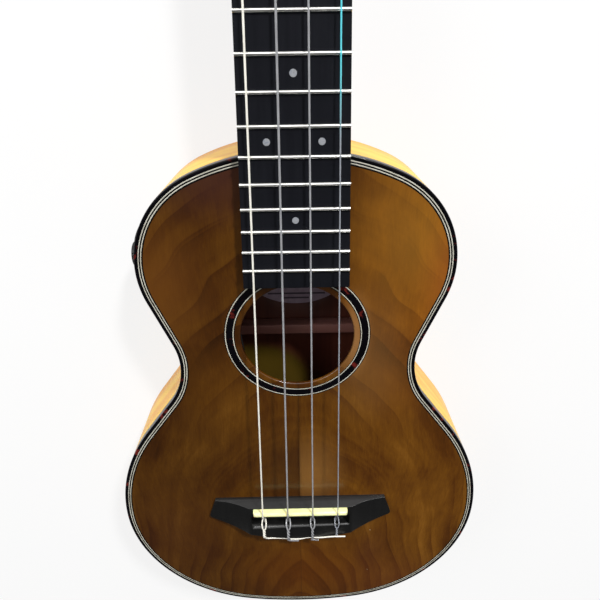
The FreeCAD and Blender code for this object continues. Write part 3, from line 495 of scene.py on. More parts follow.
def strip_parts(given):
    """A bar with rounded corners that follows a flat path, and remembers how far along it is."""
    section = put("GeometryNodeCurvePrimitiveQuadrilateral",
                  {"Width": given["Width"], "Height": given["Height"]})
    eased = put("GeometryNodeFilletCurve", {"Curve": section, "Count": 4, "Limit Radius": True,
                                            "Radius": given["Round"]}, mode="POLY")
    # the section's own axes point outwards and down, so both offsets are turned round
    shift = vec("MULTIPLY", combine(given["Inset"], given["Lift"]), (-1, -1, -1))
    placed = put("GeometryNodeTransform", {"Geometry": eased, "Translation": shift})
    level = put("GeometryNodeSetCurveNormal", {"Curve": given["Path"]}, mode="Z_UP")
    return {"Strip": finished(given, swept(level, placed))}


def cord_parts(given):
    """A round cord along a path."""
    ring = put("GeometryNodeCurvePrimitiveCircle",
               {"Resolution": given["Sides"], "Radius": given["Radius"]})
    return {"Cord": finished(given, swept(given["Path"], ring))}


def fret_parts(given):
    """A row of fret wires, each placed along the scale and cut to the fretboard's width."""
    row = put("GeometryNodeMeshLine", {"Count": given["Count"]})
    number = put("GeometryNodeInputIndex")[0] + 1.0
    place = given["Scale Length"] / calc("POWER", 2.0, number / 12.0)
    half = given["Nut Half"] + (given["Scale Length"] - place) * given["Taper"]
    placed = put("GeometryNodeSetPosition",
                 {"Geometry": row, "Position": combine(y=place, z=given["Base"])})
    # the crown: a half round, flattened to the crown's height, on a tang in its slot
    half_round = put("GeometryNodeCurveArc",
                     {"Resolution": 13, "Radius": 1.0, "Start Angle": math.pi,
                      "Sweep Angle": math.pi}, mode="RADIUS")
    bead = put("GeometryNodeSetSplineCyclic", {"Geometry": half_round, "Cyclic": True})
    sized = combine(given["Crown Width"] / 2.0, given["Crown Height"], 1.0)
    crown = put("GeometryNodeTransform", {"Geometry": bead, "Scale": sized})
    rod = put("GeometryNodeCurvePrimitiveLine", {"Start": (-1, 0, 0), "End": (1, 0, 0)})
    steps = put("GeometryNodeResampleCurve", {"Curve": rod, "Count": 24})
    off = calc("ABSOLUTE", put("GeometryNodeSplineParameter")["Factor"] - 0.5)
    nose = calc("MAXIMUM", (off - 0.488) / 0.012)
    eased = put("GeometryNodeSetCurveRadius",
                {"Curve": steps, "Radius": calc("SUBTRACT", 1.0, nose * 0.35)})
    upright = put("GeometryNodeSetCurveNormal", {"Curve": eased}, mode="Z_UP")
    wire = put("GeometryNodeCurveToMesh",
               {"Curve": upright, "Profile Curve": crown, "Fill Caps": True})
    blade = put("GeometryNodeMeshCube",
                {"Size": combine(2.0, given["Tang Width"], given["Tang Depth"])})
    tang = put("GeometryNodeTransform",
               {"Geometry": blade, "Translation": combine(z=given["Tang Depth"] / -2.0)})
    both = put("GeometryNodeJoinGeometry")
    for piece in (wire, tang):
        feed(both.node.inputs[0], piece)
    wires = put("GeometryNodeInstanceOnPoints",
                {"Points": placed, "Instance": both, "Scale": combine(half, 1.0, 1.0)})
    return {"Wires": finished(given, wires)}


def scatter_parts(given):
    """One small solid repeated on each point of a holder's mesh, turned by its own attribute."""
    source = put("GeometryNodeObjectInfo", {"Object": given["Piece"]})
    turn = put("GeometryNodeInputNamedAttribute", {"Name": "turn"}, data_type="FLOAT_VECTOR")
    spin = put("FunctionNodeEulerToRotation", {"Euler": turn["Attribute"]})
    copies = put("GeometryNodeInstanceOnPoints",
                 {"Points": given["Points"], "Instance": source["Geometry"],
                  "Rotation": spin})
    return {"Pieces": finished(given, copies)}


strip_maker = group("edge_strip", "GeometryNodeTree", {
    "Path": "Geometry", "Width": 1.5 * MM, "Height": 5 * MM, "Inset": 0.0, "Lift": 0.0,
    "Round": 0.3 * MM, "Finish": "Material",
}, strip_parts)
cord_maker = group("round_cord", "GeometryNodeTree", {
    "Path": "Geometry", "Radius": 0.4 * MM, "Sides": 12, "Finish": "Material",
}, cord_parts)
fret_maker = group("fret_wires", "GeometryNodeTree", {
    "Holder": "Geometry",
    "Count": fret_count,
    "Scale Length": scale_length,
    "Nut Half": nut_width / 2 - fret_inset,
    "Taper": 0.01,
    "Crown Width": fret_crown,
    "Crown Height": fret_top - board_top,
    "Base": board_top,
    "Tang Width": fret_tang,
    "Tang Depth": tang_depth,
    "Finish": "Material",
}, fret_parts)
scatter_maker = group("repeated_piece", "GeometryNodeTree", {
    "Points": "Geometry", "Piece": "Object", "Finish": "Material",
}, scatter_parts)


def strip(name, points, material, width, height, inset, low, round_edge):
    """A strip along a closed path; low is the height of its underside."""
    holder = path_holder(name + "_path", points, closed=True)
    return grown(strip_maker, holder, name, material, Width=width, Height=height,
                 Inset=inset, Lift=low + height / 2, Round=round_edge)


def scattered(name, places, pattern, material, crease=30.0):
    """Copies of a small solid at places given as (point, turn about X, Y and Z)."""
    mesh = bpy.data.meshes.new(name + "_places")
    mesh.from_pydata([tuple(point) for point, turn in places], [], [])
    turns = mesh.attributes.new("turn", "FLOAT_VECTOR", "POINT")
    for index, (point, turn) in enumerate(places):
        turns.data[index].vector = turn
    holder = link(bpy.data.objects.new(name + "_holder", mesh))
    piece = grown(scatter_maker, holder, name, material, crease, Piece=pattern)
    bpy.data.objects.remove(pattern)
    return piece


def cord(name, points, radius, material, smooth=False):
    holder = path_holder(name + "_path", points, smooth=smooth)
    return grown(cord_maker, holder, name, material, 60.0, Radius=radius, Sides=12)


# ---- shared effects for finishes
def colour(red, green, blue):
    """A colour from its usual 0 to 255 screen values."""
    def linear(value):
        share = value / 255
        return share / 12.92 if share <= 0.04045 else ((share + 0.055) / 1.055) ** 2.4
    return (linear(red), linear(green), linear(blue), 1.0)


def tint(share, a, b, mode="MIX"):
    """Mix two colours by a share."""
    return put("ShaderNodeMix", {0: share, 6: a, 7: b}, data_type="RGBA", blend_type=mode)[2]


def fit(value, low, high, to_low=0.0, to_high=1.0, smooth=False):
    """Stretch a value from one range to another."""
    return put("ShaderNodeMapRange",
               {"Value": value, "From Min": low, "From Max": high, "To Min": to_low,
                "To Max": to_high}, interpolation_type="SMOOTHSTEP" if smooth else "LINEAR")[0]


def noise(vector, scale, detail=3.0, rough=0.6, twist=0.0, result="Fac"):
    return put("ShaderNodeTexNoise",
               {"Vector": vector, "Scale": scale, "Detail": detail, "Roughness": rough,
                "Distortion": twist})[result]


def mapped(vector, scale=(1, 1, 1), turn=(0, 0, 0), move=(0, 0, 0)):
    return put("ShaderNodeMapping", {"Vector": vector, "Scale": scale, "Rotation": turn,
                                     "Location": move})[0]


def mottled(vector, scale, low, high, a, b):
    """Two colours mixed by soft noise, whose values from low to high are stretched."""
    return tint(fit(noise(vector, scale), low, high), a, b)


def ramp(value, *stops):
    """A colour ramp from (place, colour) stops."""
    made = put("ShaderNodeValToRGB", {"Fac": value})
    elements = made.node.color_ramp.elements
    while len(elements) < len(stops):
        elements.new(0.5)
    for element, (place, shade) in zip(elements, stops):
        element.position = place
        element.color = shade
    return made[0]


def grain_parts(given):
    """Fibres and soft bands that run along X of the vector."""
    broad = noise(mapped(given["Vector"], (0.12, 1, 1)), given["Band Scale"], 3.0, 0.55, 0.6)
    fibre = noise(mapped(given["Vector"], (0.03, 1, 1)), given["Fibre Scale"], 2.0)
    both = calc("ADD", fit(broad, 0.3, 0.7, smooth=True),
                (fibre - 0.5) * given["Fibre Share"], clamp=True)
    return {"Color": tint(both, given["Pale"], given["Dark"]), "Height": fibre}


def surface_parts(given):
    """Small marks of a handled surface: a wavy height and an uneven roughness."""
    smear = noise(given["Vector"], given["Scale"], 4.0)
    hair = noise(mapped(given["Vector"], (1.0, 0.05, 1.0), (0, 0, 0.6)),
                 given["Scale"] * 14.0, 2.0, 0.5)
    change = ((smear - 0.5) + (hair - 0.5) * 0.5) * given["Spread"]
    return {"Roughness": calc("ADD", given["Roughness"], change, clamp=True),
            "Height": smear + hair * 0.25}


def dust_parts(given):
    """A mask of a few tiny scattered specks."""
    cells = put("ShaderNodeTexVoronoi", {"Vector": given["Vector"], "Scale": given["Scale"]})
    kept = put("ShaderNodeSeparateColor", {0: cells["Color"]})[0] < given["Share"]
    return {"Mask": (cells["Distance"] < given["Size"]) * kept}


def patch_parts(given):
    """A soft round mask at a place on the surface."""
    away = vec("SUBTRACT", given["Vector"], given["Place"])
    reach = vec("LENGTH", vec("DIVIDE", away, given["Reach"]), result="Value")
    return {"Mask": fit(reach, 1.0, 0.0, smooth=True)}


def tortoise_parts(given):
    """Nearly black celluloid with dull red flecks under its surface."""
    cloud = noise(given["Vector"], given["Scale"], 3.0, 0.6, 0.4)
    flecks = fit(cloud - given["Threshold"], 0.0, 0.09, smooth=True)
    smoke = noise(mapped(given["Vector"], move=(3, 1, 2)), 25.0, 2.0, 0.5)
    base = tint(fit(smoke, 0.4, 0.7), given["Base"], colour(9, 8, 14))
    return {"Color": tint(flecks, base, given["Fleck"])}


grain_effect = group("wood_grain", "ShaderNodeTree", {
    "Vector": "Vector", "Pale": (1, 1, 1, 1), "Dark": (0, 0, 0, 1), "Band Scale": 60.0,
    "Fibre Scale": 700.0, "Fibre Share": 0.35,
}, grain_parts)
surface_effect = group("handled_surface", "ShaderNodeTree", {
    "Vector": "Vector", "Roughness": 0.3, "Spread": 0.1, "Scale": 90.0,
}, surface_parts)
dust_effect = group("stray_dust", "ShaderNodeTree", {
    "Vector": "Vector", "Scale": 40.0, "Size": 0.02, "Share": 0.2,
}, dust_parts)
patch_effect = group("soft_patch", "ShaderNodeTree", {
    "Vector": "Vector", "Place": (0, 0, 0), "Reach": (0.05, 0.05, 1.0),
}, patch_parts)
tortoise_effect = group("tortoise_flecks", "ShaderNodeTree", {
    "Vector": "Vector", "Base": (0, 0, 0, 1), "Fleck": (0.1, 0, 0, 1), "Scale": 60.0,
    "Threshold": 0.6,
}, tortoise_parts)


def effect(shared, vector, **feeds):
    """Place a shared effect with its own values; underscores stand for spaces."""
    made = put("ShaderNodeGroup", node_tree=shared)
    for label, value in {"Vector": vector, **feeds}.items():
        feed(made.node.inputs[label.replace("_", " ")], value)
    return made


def grained(vector, pale, dark, band=60.0, fibre=700.0, share=0.4):
    """Wood grain along X of the vector."""
    return effect(grain_effect, vector, Pale=pale, Dark=dark, Band_Scale=band,
                  Fibre_Scale=fibre, Fibre_Share=share)


def soft(vector, middle, reach_x, reach_y):
    """Mask of a soft round area."""
    return effect(patch_effect, vector, Place=middle, Reach=(reach_x, reach_y, 1.0))["Mask"]


class Finish:
    """A material being built: its shader and the surface's own coordinates."""

    def __init__(self, name, **settings):
        self.material = bpy.data.materials.new(name)
        self.material.use_nodes = True
        Building.tree = self.material.node_tree
        self.shader = Building.tree.nodes["Principled BSDF"]
        for label, value in settings.items():
            self.feed(label, value)
        self.place = put("ShaderNodeTexCoord")["Object"]

    def feed(self, label, value):
        feed(self.shader.inputs[label.replace("_", " ")], value)

    def bump(self, height, depth):
        self.feed("Normal", put("ShaderNodeBump", {"Height": height, "Distance": depth,
                                                   "Strength": 1.0}))

    def marks(self, roughness, spread, scale):
        """Uneven roughness; returns the height of the marks that cause it."""
        made = effect(surface_effect, self.place, Roughness=roughness, Spread=spread,
                      Scale=scale)
        self.feed("Roughness", made["Roughness"])
        return made["Height"]

    def done(self, shade, roughness, spread, scale, depth):
        """The material, with its colour, uneven roughness and a faint relief."""
        self.feed("Base_Color", shade)
        self.bump(self.marks(roughness, spread, scale), depth)
        return self.material


def plain_wood(name, pale, dark, along="Y", fibre=700.0, share=0.4, roughness=0.5, coat=0.0):
    """Straight-grained wood whose grain runs along one axis."""
    finish = Finish(name, Coat_Weight=coat, Coat_Roughness=0.08)
    turns = {"X": (0, 0, 0), "Y": (0, 0, -math.pi / 2), "Z": (0, math.pi / 2, 0)}
    wood = grained(mapped(finish.place, turn=turns[along]), pale, dark, 60.0, fibre, share)
    finish.feed("Base_Color", wood["Color"])
    finish.bump(wood["Height"] + finish.marks(roughness, 0.15, 70.0) * 0.3, 0.03 * MM)
    return finish.material


# ---- the figured top, bookmatched about its seam
def figured_top():
    finish = Finish("figured_top", Coat_Roughness=0.16, Roughness=0.4,
                    Specular_IOR_Level=0.15)
    place = finish.place
    across = part(place, "X")
    # both halves come from one split board, so they mirror at the seam, with small changes
    aside = calc("ABSOLUTE", across)
    folded = combine(aside, part(place, "Y"), (across > 0.0) * 0.006)
    warp = noise(folded, 13.0, 2.0, 0.45, result="Color")
    grain = vec("MULTIPLY_ADD", vec("SUBTRACT", warp, (0.5, 0.5, 0.5)), (0.034, 0.05, 0.0),
                folded)
    # growth rings: tall arches about the seam, centred beyond the tail
    spread = vec("SUBTRACT", grain, (0.0, tail_end - 0.012, 0.0))
    reach = vec("LENGTH", vec("MULTIPLY", spread, (2.3, 1.0, 0.0)), result="Value")
    bands = noise(combine(reach), 46.0)
    # each ring darkens slowly and ends at a thin line that comes and goes
    tooth = calc("FRACT", reach * 52.0 + bands * 3.0)
    edge = calc("POWER", tooth, 3.0) * fit(tooth, 1.0, 0.93)
    # between the hole and the bridge the rings give way to a mottled patch
    calm = soft(place, (0, lower_y + 0.040, deck), 0.045, 0.060)
    # and at the tail they stand out most
    strong = soft(place, (0, tail_end + 0.016, deck), 0.052, 0.050)
    shown = calc("SUBTRACT", fit(noise(place, 17.0, 2.0, 0.5), 0.42, 0.62), calm, clamp=True)
    shown = calc("ADD", shown, strong * 0.5, clamp=True)
    line = edge * shown * fit(strong, 0.0, 1.0, 0.30, 0.44)
    cloud = noise(grain, 18.0, 3.0, 0.5)
    mottle = noise(mapped(grain, (1.0, 0.45, 1.0)), 62.0, 5.0, 0.66)
    fibre = noise(mapped(grain, (1.0, 0.06, 1.0)), 620.0, 3.0, 0.7)
    pore = noise(mapped(folded, (1.0, 0.12, 1.0)), 1500.0, 2.0)
    tone = fit(bands, 0.3, 0.7, -0.22, 0.22, smooth=True)
    for layer, share in ((cloud, 1.35), (mottle, 1.15), (fibre, 0.5), (pore, 0.42)):
        tone += (layer - 0.5) * share
    tone = calc("SUBTRACT", fit(tone, -1.0, 1.0), line, clamp=True)
    wood = ramp(tone, (0.0, colour(40, 17, 0)), (0.35, colour(76, 40, 2)),
                (0.6, colour(100, 60, 6)), (1.0, colour(140, 92, 26)))
    halves = {-1: across < 0.0, 1: across > 0.0}

    def patch(shade, x, y, reach_x, reach_y, strength, mode="MIX", half=0):
        """Tint a soft round area, on one half of the split board only if half is -1 or 1."""
        nonlocal wood
        mask = soft(place, (x, y, deck), reach_x, reach_y)
        if half:
            mask *= halves[half]
        wood = tint(mask * strength, wood, shade, mode)

    bout = upper_bout / 2
    wide = lower_bout / 2
    # painted light: a soft honey glow brightens the treble upper bout
    patch(colour(255, 214, 120), bout * 0.9, upper_y, 0.075, 0.085, 0.5, "SOFT_LIGHT")
    patch(colour(168, 122, 40), bout * 0.75, upper_y + 0.012, 0.05, 0.06, 0.28)
    patch(colour(66, 34, 30), -bout * 0.45, top_end - 0.008, 0.052, 0.030, 0.75)
    patch(colour(128, 76, 22), -bout * 0.9, upper_y - 0.008, 0.034, 0.05, 0.6)
    patch(colour(150, 72, 26), bout * 1.05, upper_y - 0.006, 0.024, 0.05, 0.4)
    patch(colour(120, 84, 44), bout * 0.48, hole_y - 0.012, 0.026, 0.05, 0.45)
    patch(colour(168, 120, 70), hole_radius, hole_y, 0.010, 0.030, 0.55)
    patch(colour(140, 88, 14), -bout * 0.6, hole_y - 0.030, 0.034, 0.034, 0.2)
    patch(colour(170, 110, 40), bout * 0.7, hole_y - 0.030, 0.034, 0.034, 0.13)
    patch(colour(128, 66, 0), 0, tail_end + 0.030, 0.060, 0.045, 0.28)
    patch(colour(82, 40, 18), -wide * 0.75, lower_y - 0.02, 0.05, 0.06, 0.35)
    patch(colour(86, 42, 18), wide * 0.55, tail_end + 0.018, 0.05, 0.035, 0.4)
    patch(colour(150, 106, 54), 0.005, lower_y + 0.028, 0.026, 0.040, 0.5, half=1)
    patch(colour(60, 34, 12), -0.004, lower_y + 0.032, 0.024, 0.044, 0.5, half=-1)
    patch(colour(64, 28, 14), wide * 0.42, lower_y - 0.036, 0.014, 0.03, 0.5)
    # painted light and shade: the board is darkened towards the bass side and lightened towards
    # the treble side, where the light falls
    painted_side_light = fit(across, -bout, bout, 0.66, 1.17, smooth=True)
    wood = put("ShaderNodeHueSaturation", {"Value": painted_side_light, "Color": wood})
    wood = tint((aside < 0.12 * MM) * 0.5, wood, colour(50, 30, 12))
    specks = effect(dust_effect, place, Scale=52.0, Size=0.016, Share=0.5)["Mask"]
    wood = tint(specks * 0.7, wood, colour(214, 190, 150))
    # lacquer gathers on the rounded rim of the soundhole
    from_hole = vec("DISTANCE", place, (0, hole_y, deck), result="Value")
    rim = calc("COMPARE", from_hole, hole_radius, 0.65 * MM)
    finish.feed("Coat_Weight", fit(rim, 0.0, 1.0, 0.35, 1.0))
    return finish.done(wood, 0.42, 0.2, 60.0, 0.012 * MM)


def side_wood():
    """Honey-coloured wood whose grain follows the bend of the sides."""
    finish = Finish("side_wood", Coat_Weight=0.08, Coat_Roughness=0.12,
                    Specular_IOR_Level=0.15)
    height = part(finish.place, "Z")
    wood = grained(combine(stored("along"), height), colour(246, 198, 60),
                   colour(234, 168, 36), 95.0, 900.0)
    low = fit(height, 0.014, 0.004, smooth=True)
    shade = tint(low * 0.45, wood["Color"], colour(226, 150, 66))
    return finish.done(tint(stored("inner"), shade, colour(104, 62, 38)),
                       0.36, 0.15, 80.0, 0.012 * MM)


def plate_wood():
    """The back: honey-coloured and lacquered outside, bare red-brown wood inside, painted olive
    where light falls through the soundhole.
    """
    finish = Finish("back_wood", Coat_Weight=0.4, Coat_Roughness=0.08)
    vector = mapped(finish.place, turn=(0, 0, -math.pi / 2))
    outside = grained(vector, colour(214, 150, 66), colour(176, 110, 40), 46.0)["Color"]
    bare = grained(vector, colour(104, 54, 38), colour(74, 34, 24), 60.0, 500.0, 0.5)["Color"]
    # painted light: an olive tint where the key lamp's pool of light falls through the soundhole,
    # under its bass side; the lamp itself gives the brightness
    streak = soft(finish.place, (-0.026, hole_y - 0.052, back_thickness), 0.042, 0.030)
    bare = tint(fit(streak, 0.0, 0.22, smooth=True), bare, colour(84, 66, 16))
    inside = fit(part(finish.place, "Z"), back_thickness * 0.7, back_thickness * 0.9)
    return finish.done(tint(inside, outside, bare), 0.4, 0.15, 70.0, 0.012 * MM)


def tortoise():
    finish = Finish("tortoise", Coat_Weight=0.15, Coat_Roughness=0.08,
                    Specular_IOR_Level=0.15)
    flecks = effect(tortoise_effect, finish.place, Base=colour(4, 3, 6),
                    Fleck=colour(98, 28, 22), Scale=120.0, Threshold=0.59)
    return finish.done(flecks["Color"], 0.3, 0.12, 120.0, 0.01 * MM)


def trim_line(name, shade, worn):
    finish = Finish(name, Coat_Weight=0.2, Coat_Roughness=0.08, Specular_IOR_Level=0.2)
    return finish.done(mottled(finish.place, 160.0, 0.35, 0.75, shade, worn),
                       0.4, 0.1, 120.0, 0.008 * MM)


def ebony(name, shade, lift, gloss, shine):
    """Black wood with fine pores along Y."""
    finish = Finish(name, Specular_IOR_Level=shine)
    streak = noise(mapped(finish.place, (1.0, 0.05, 1.0)), 420.0, 3.0, 0.65)
    cloud = noise(finish.place, 40.0, 2.0, 0.5)
    tone = fit(streak, 0.4, 0.75) * fit(cloud, 0.25, 0.75)
    finish.feed("Base_Color", tint(tone, shade, lift))
    pores = fit(streak, 0.62, 0.7)
    finish.bump(finish.marks(gloss, 0.18, 110.0) * 0.3 - pores, 0.03 * MM)
    return finish.material


def bone():
    finish = Finish("bone", Subsurface_Weight=0.15, Subsurface_Scale=0.002)
    veins = mottled(mapped(finish.place, (0.15, 1.0, 1.0)), 260.0, 0.35, 0.7,
                    colour(255, 255, 192), colour(255, 250, 168))
    return finish.done(veins, 0.36, 0.1, 120.0, 0.01 * MM)


def metal(name, shade, dull, roughness):
    finish = Finish(name, Metallic=1.0)
    return finish.done(mottled(finish.place, 160.0, 0.4, 0.75, shade, dull),
                       roughness, 0.12, 256.0, 0.006 * MM)


def pearl():
    finish = Finish("pearl", Coat_Weight=0.5, Coat_Roughness=0.05)
    swirl = noise(finish.place, 420.0, twist=1.2)
    shade = ramp(swirl, (0.3, colour(116, 118, 124)), (0.5, colour(158, 160, 164)),
                 (0.7, colour(132, 138, 150)))
    return finish.done(shade, 0.25, 0.1, 200.0, 0.008 * MM)


def nylon(name, shade, worn, clear, glint=None):
    """String material; clear is how much light goes through it, glint the colour of a painted
    reflection up the neck.
    """
    finish = Finish(name, Transmission_Weight=clear, IOR=1.5, Coat_Weight=0.2)
    base = mottled(combine(stored("along")), 140.0, 0.4, 0.8, shade, worn)
    if glint:
        # painted reflection: the colour turns to the glint over a band along the neck
        far = part(finish.place, "Y")
        painted_glint_band = fit(far, *glint_rise, smooth=True) * fit(far, *glint_fall, smooth=True)
        base = tint(painted_glint_band, base, glint)
    return finish.done(base, 0.22, 0.12, 300.0, 0.004 * MM)


def moulded(name, shade, lift, roughness):
    """Moulded plastic with a fine spark-eroded grain."""
    finish = Finish(name, Specular_IOR_Level=0.45)
    return finish.done(mottled(finish.place, 90.0, 0.4, 0.8, shade, lift),
                       roughness, 0.15, 520.0, 0.02 * MM)


def label_paper():
    """Plain pale label with two ruled lines near its lower edge."""
    finish = Finish("label_paper", Roughness=0.85)
    low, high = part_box("label")
    half = (high - low) / 2
    scaled = vec("DIVIDE", vec("SUBTRACT", finish.place, tuple((low + high) / 2)),
                 (half.x, half.y, 1.0))
    across = calc("ABSOLUTE", part(scaled, "X"))
    ink = 0.0
    for height, length in ((-0.70, 0.55), (-0.83, 0.24)):
        line = calc("COMPARE", part(scaled, "Y"), height, 0.025)
        ink = calc("MAXIMUM", line * (across < length), ink)
    fibres = noise(finish.place, 320.0)
    paper = tint(fit(fibres, 0.3, 0.7), colour(176, 156, 170), colour(156, 136, 152))
    finish.feed("Base_Color", tint(ink * 0.8, paper, colour(40, 32, 44)))
    finish.bump(fibres, 0.02 * MM)
    return finish.material


def printed_board():
    """Green circuit board with pale tracks."""
    finish = Finish("board_green", Coat_Weight=0.3)
    cells = put("ShaderNodeTexVoronoi", {"Vector": finish.place, "Scale": 420.0},
                feature="DISTANCE_TO_EDGE")
    shade = tint(cells["Distance"] < 0.05, colour(18, 84, 46), colour(52, 132, 74))
    return finish.done(shade, 0.4, 0.1, 200.0, 0.01 * MM)


top_wood = figured_top()
rim_wood = side_wood()
back_wood = plate_wood()
block_wood = plain_wood("block_wood", colour(92, 46, 30), colour(64, 30, 20), "Z")
lining_wood = plain_wood("lining_wood", colour(130, 84, 56), colour(100, 58, 36))
brace_wood = plain_wood("brace_wood", colour(176, 122, 112), colour(140, 90, 80), "X")
fan_wood = plain_wood("fan_wood", colour(118, 72, 60), colour(88, 48, 38))
neck_wood = plain_wood("neck_wood", colour(150, 92, 52), colour(112, 62, 32), "Y", 640.0,
                       0.55, 0.42, 0.25)
tortoise_trim = tortoise()
ivory_line = trim_line("ivory_line", colour(206, 204, 190), colour(168, 164, 148))
black_line = trim_line("black_line", colour(4, 3, 3), colour(10, 8, 8))
fretboard_wood = ebony("fretboard_ebony", colour(20, 21, 26), colour(27, 28, 33), 0.5, 0.08)
bridge_wood = ebony("bridge_ebony", colour(16, 16, 16), colour(24, 24, 23), 0.36, 0.55)
saddle_bone = bone()
fret_wire = metal("fret_wire", colour(252, 251, 246), colour(232, 231, 224), 0.34)
nickel = metal("nickel", colour(206, 204, 198), colour(160, 156, 148), 0.2)
steel = metal("steel", colour(176, 178, 182), colour(132, 134, 138), 0.28)
cell_steel = metal("cell_steel", colour(196, 198, 202), colour(150, 152, 156), 0.3)
foil = metal("pickup_foil", colour(196, 140, 84), colour(150, 104, 60), 0.35)
pearl_dot = pearl()
string_white = nylon("string_white", colour(250, 247, 236), colour(232, 228, 214), 0.0)
string_grey = nylon("string_grey", colour(180, 181, 184), colour(152, 152, 156), 0.25)
string_thin = nylon("string_thin", colour(172, 176, 184), colour(146, 150, 160), 0.25,
                    colour(110, 236, 250))
string_finishes = [string_white, string_grey, string_grey, string_thin]
key_plastic = moulded("button_plastic", colour(18, 18, 19), colour(34, 34, 36), 0.3)
black_plastic = moulded("black_plastic", colour(16, 16, 17), colour(32, 32, 34), 0.42)
lead_sheath = moulded("lead_sheath", colour(20, 20, 21), colour(38, 38, 40), 0.55)
plain_label = label_paper()
circuit = printed_board()


# ---- the body
def body_strip(name, material, width, height, inset, low, round_edge):
    return strip(name, outline(0, 0), material, width, height, inset + width / 2, low,
                 round_edge)


def joined(name, pieces):
    """Several meshes as one piece."""
    shape = bmesh.new()
    material = pieces[0].data.materials[0]
    for piece in pieces:
        shape.from_mesh(piece.data)
        bpy.data.objects.remove(piece)
    return plain_mesh(name, shape, material)


def make_bindings():
    top = body_strip("top_binding_bead", tortoise_trim, binding_width, top_binding_height, 0,
                     deck - top_binding_height, 0.55 * MM)
    settle(top, "top_binding", "tortoise")
    low = body_strip("back_binding_bead", rim_wood, binding_width, back_binding_height, 0,
                     0, 0.5 * MM)
    settle(low, "back_binding", "side_wood")


def make_purfling():
    inset = binding_width
    lines = []
    for index, width in enumerate(purfling_widths):
        material = ivory_line if index % 2 == 0 else black_line
        lines.append(body_strip("purfling_line_" + str(index + 1), material, width,
                                purfling_depth, inset, deck - purfling_depth, 0.06 * MM))
        inset += width
    settle(joined("purfling_white_lines", lines[0::2]), "purfling_white", "ivory_line")
    settle(joined("purfling_black_lines", lines[1::2]), "purfling_black", "black_line")


def make_rosette():
    rings = []
    radius = rosette_inner_radius
    finishes = [black_line, ivory_line, tortoise_trim, ivory_line, black_line]
    for index, width in enumerate(rosette_widths):
        middle = radius + width / 2
        points = [Vector((middle * math.cos(turn), hole_y + middle * math.sin(turn), 0))
                  for turn in (2 * math.pi * step / 160 for step in range(160))]
        rings.append(strip("rosette_ring_" + str(index + 1), points, finishes[index],
                           width, rosette_depth, 0, deck - rosette_depth, 0.06 * MM))
        radius += width
    settle(rings[2], "rosette_band", "tortoise")
    settle(joined("rosette_white_rings", [rings[1], rings[3]]), "rosette_white", "ivory_line")
    settle(joined("rosette_black_rings", [rings[0], rings[4]]), "rosette_black", "black_line")


def near_hole(edge):
    """An edge on the rim of the soundhole."""
    return all(abs((vert.co.xy - Vector((0, hole_y))).length - hole_radius) < 0.2 * MM
               for vert in edge.verts)


def mark_along(piece):
    """Give each point of a side its distance along the outline, for the grain to follow."""
    route = half_outline(0, 0)
    travel = [0.0]
    for a, b in zip(route, route[1:]):
        travel.append(travel[-1] + (b - a).length)
    values = []
    depths = []
    for vert in piece.data.vertices:
        spot = Vector((abs(vert.co.x), vert.co.y, 0))
        best = min(range(len(route) - 1), key=lambda k: (route[k] - spot).length_squared)
        values.append(travel[best] if vert.co.x > 0 else 2 * travel[-1] - travel[best])
        depths.append(float((route[best] - spot).length > side_thickness * 0.75))
    for name, numbers in (("along", values), ("inner", depths)):
        layer = piece.data.attributes.new(name, "FLOAT", "POINT")
        layer.data.foreach_set("value", numbers)


def make_body():
    skin("soundboard", top_wood, "top_wood", 0.6 * MM, near_hole)
    skin("back", back_wood, "back_wood")
    for name in ("side_bass", "side_treble"):
        mark_along(skin(name, rim_wood, "side_wood"))
    skin("neck_block", block_wood, "block_wood", 0.6 * MM)
    skin("tail_block", block_wood, "block_wood")
    skin("bridge_plate", brace_wood, "brace_wood")
    skin("back_braces", brace_wood, "brace_wood", 1.2 * MM)
    skin("top_braces", fan_wood, "brace_wood", 1.0 * MM)
    skin("label", plain_label, "label_paper")


def kerf_solid():
    """One tooth of a kerfed lining: a small block with a sloping inner face."""
    tall = lining_height
    deep = lining_width - 0.4 * MM
    face = [(0, 0), (deep, 0), (deep, -tall * 0.35), (1.2 * MM, -tall), (0, -tall)]
    rings = [[(x, side * kerf_block / 2, z) for x, z in face] for side in (-1, 1)]
    return lofted("kerf_tooth", rings, lining_wood)


def make_linings():
    """Kerfed strips: a row of teeth along each side, clear of the blocks and the preamp."""
    low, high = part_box("linings")
    neck_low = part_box("neck_block")[0]
    tail_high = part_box("tail_block")[1]
    case_low, case_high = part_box("preamp_housing")
    route = half_outline(side_thickness, 0, kerf_pitch)
    clear = kerf_block / 2 + 1.2 * MM
    teeth = []
    for side in (-1, 1):
        for before, point, after in zip(route, route[1:], route[2:]):
            if (point.y > neck_low.y - clear and abs(point.x) < -neck_low.x + clear
                    or point.y < tail_high.y + clear and abs(point.x) < tail_high.x + clear
                    or side < 0 and case_low.y - clear < point.y < case_high.y + clear):
                continue
            ahead = after - before
            inward = math.atan2(ahead.y, side * ahead.x) + side * math.pi / 2
            teeth.append(((side * point.x, point.y, high.z), (0, 0, inward)))
            teeth.append(((side * point.x, point.y, low.z), (math.pi, 0, inward)))
    settle(scattered("kerfed_linings", teeth, kerf_solid(), lining_wood), "linings",
           "lining_wood")


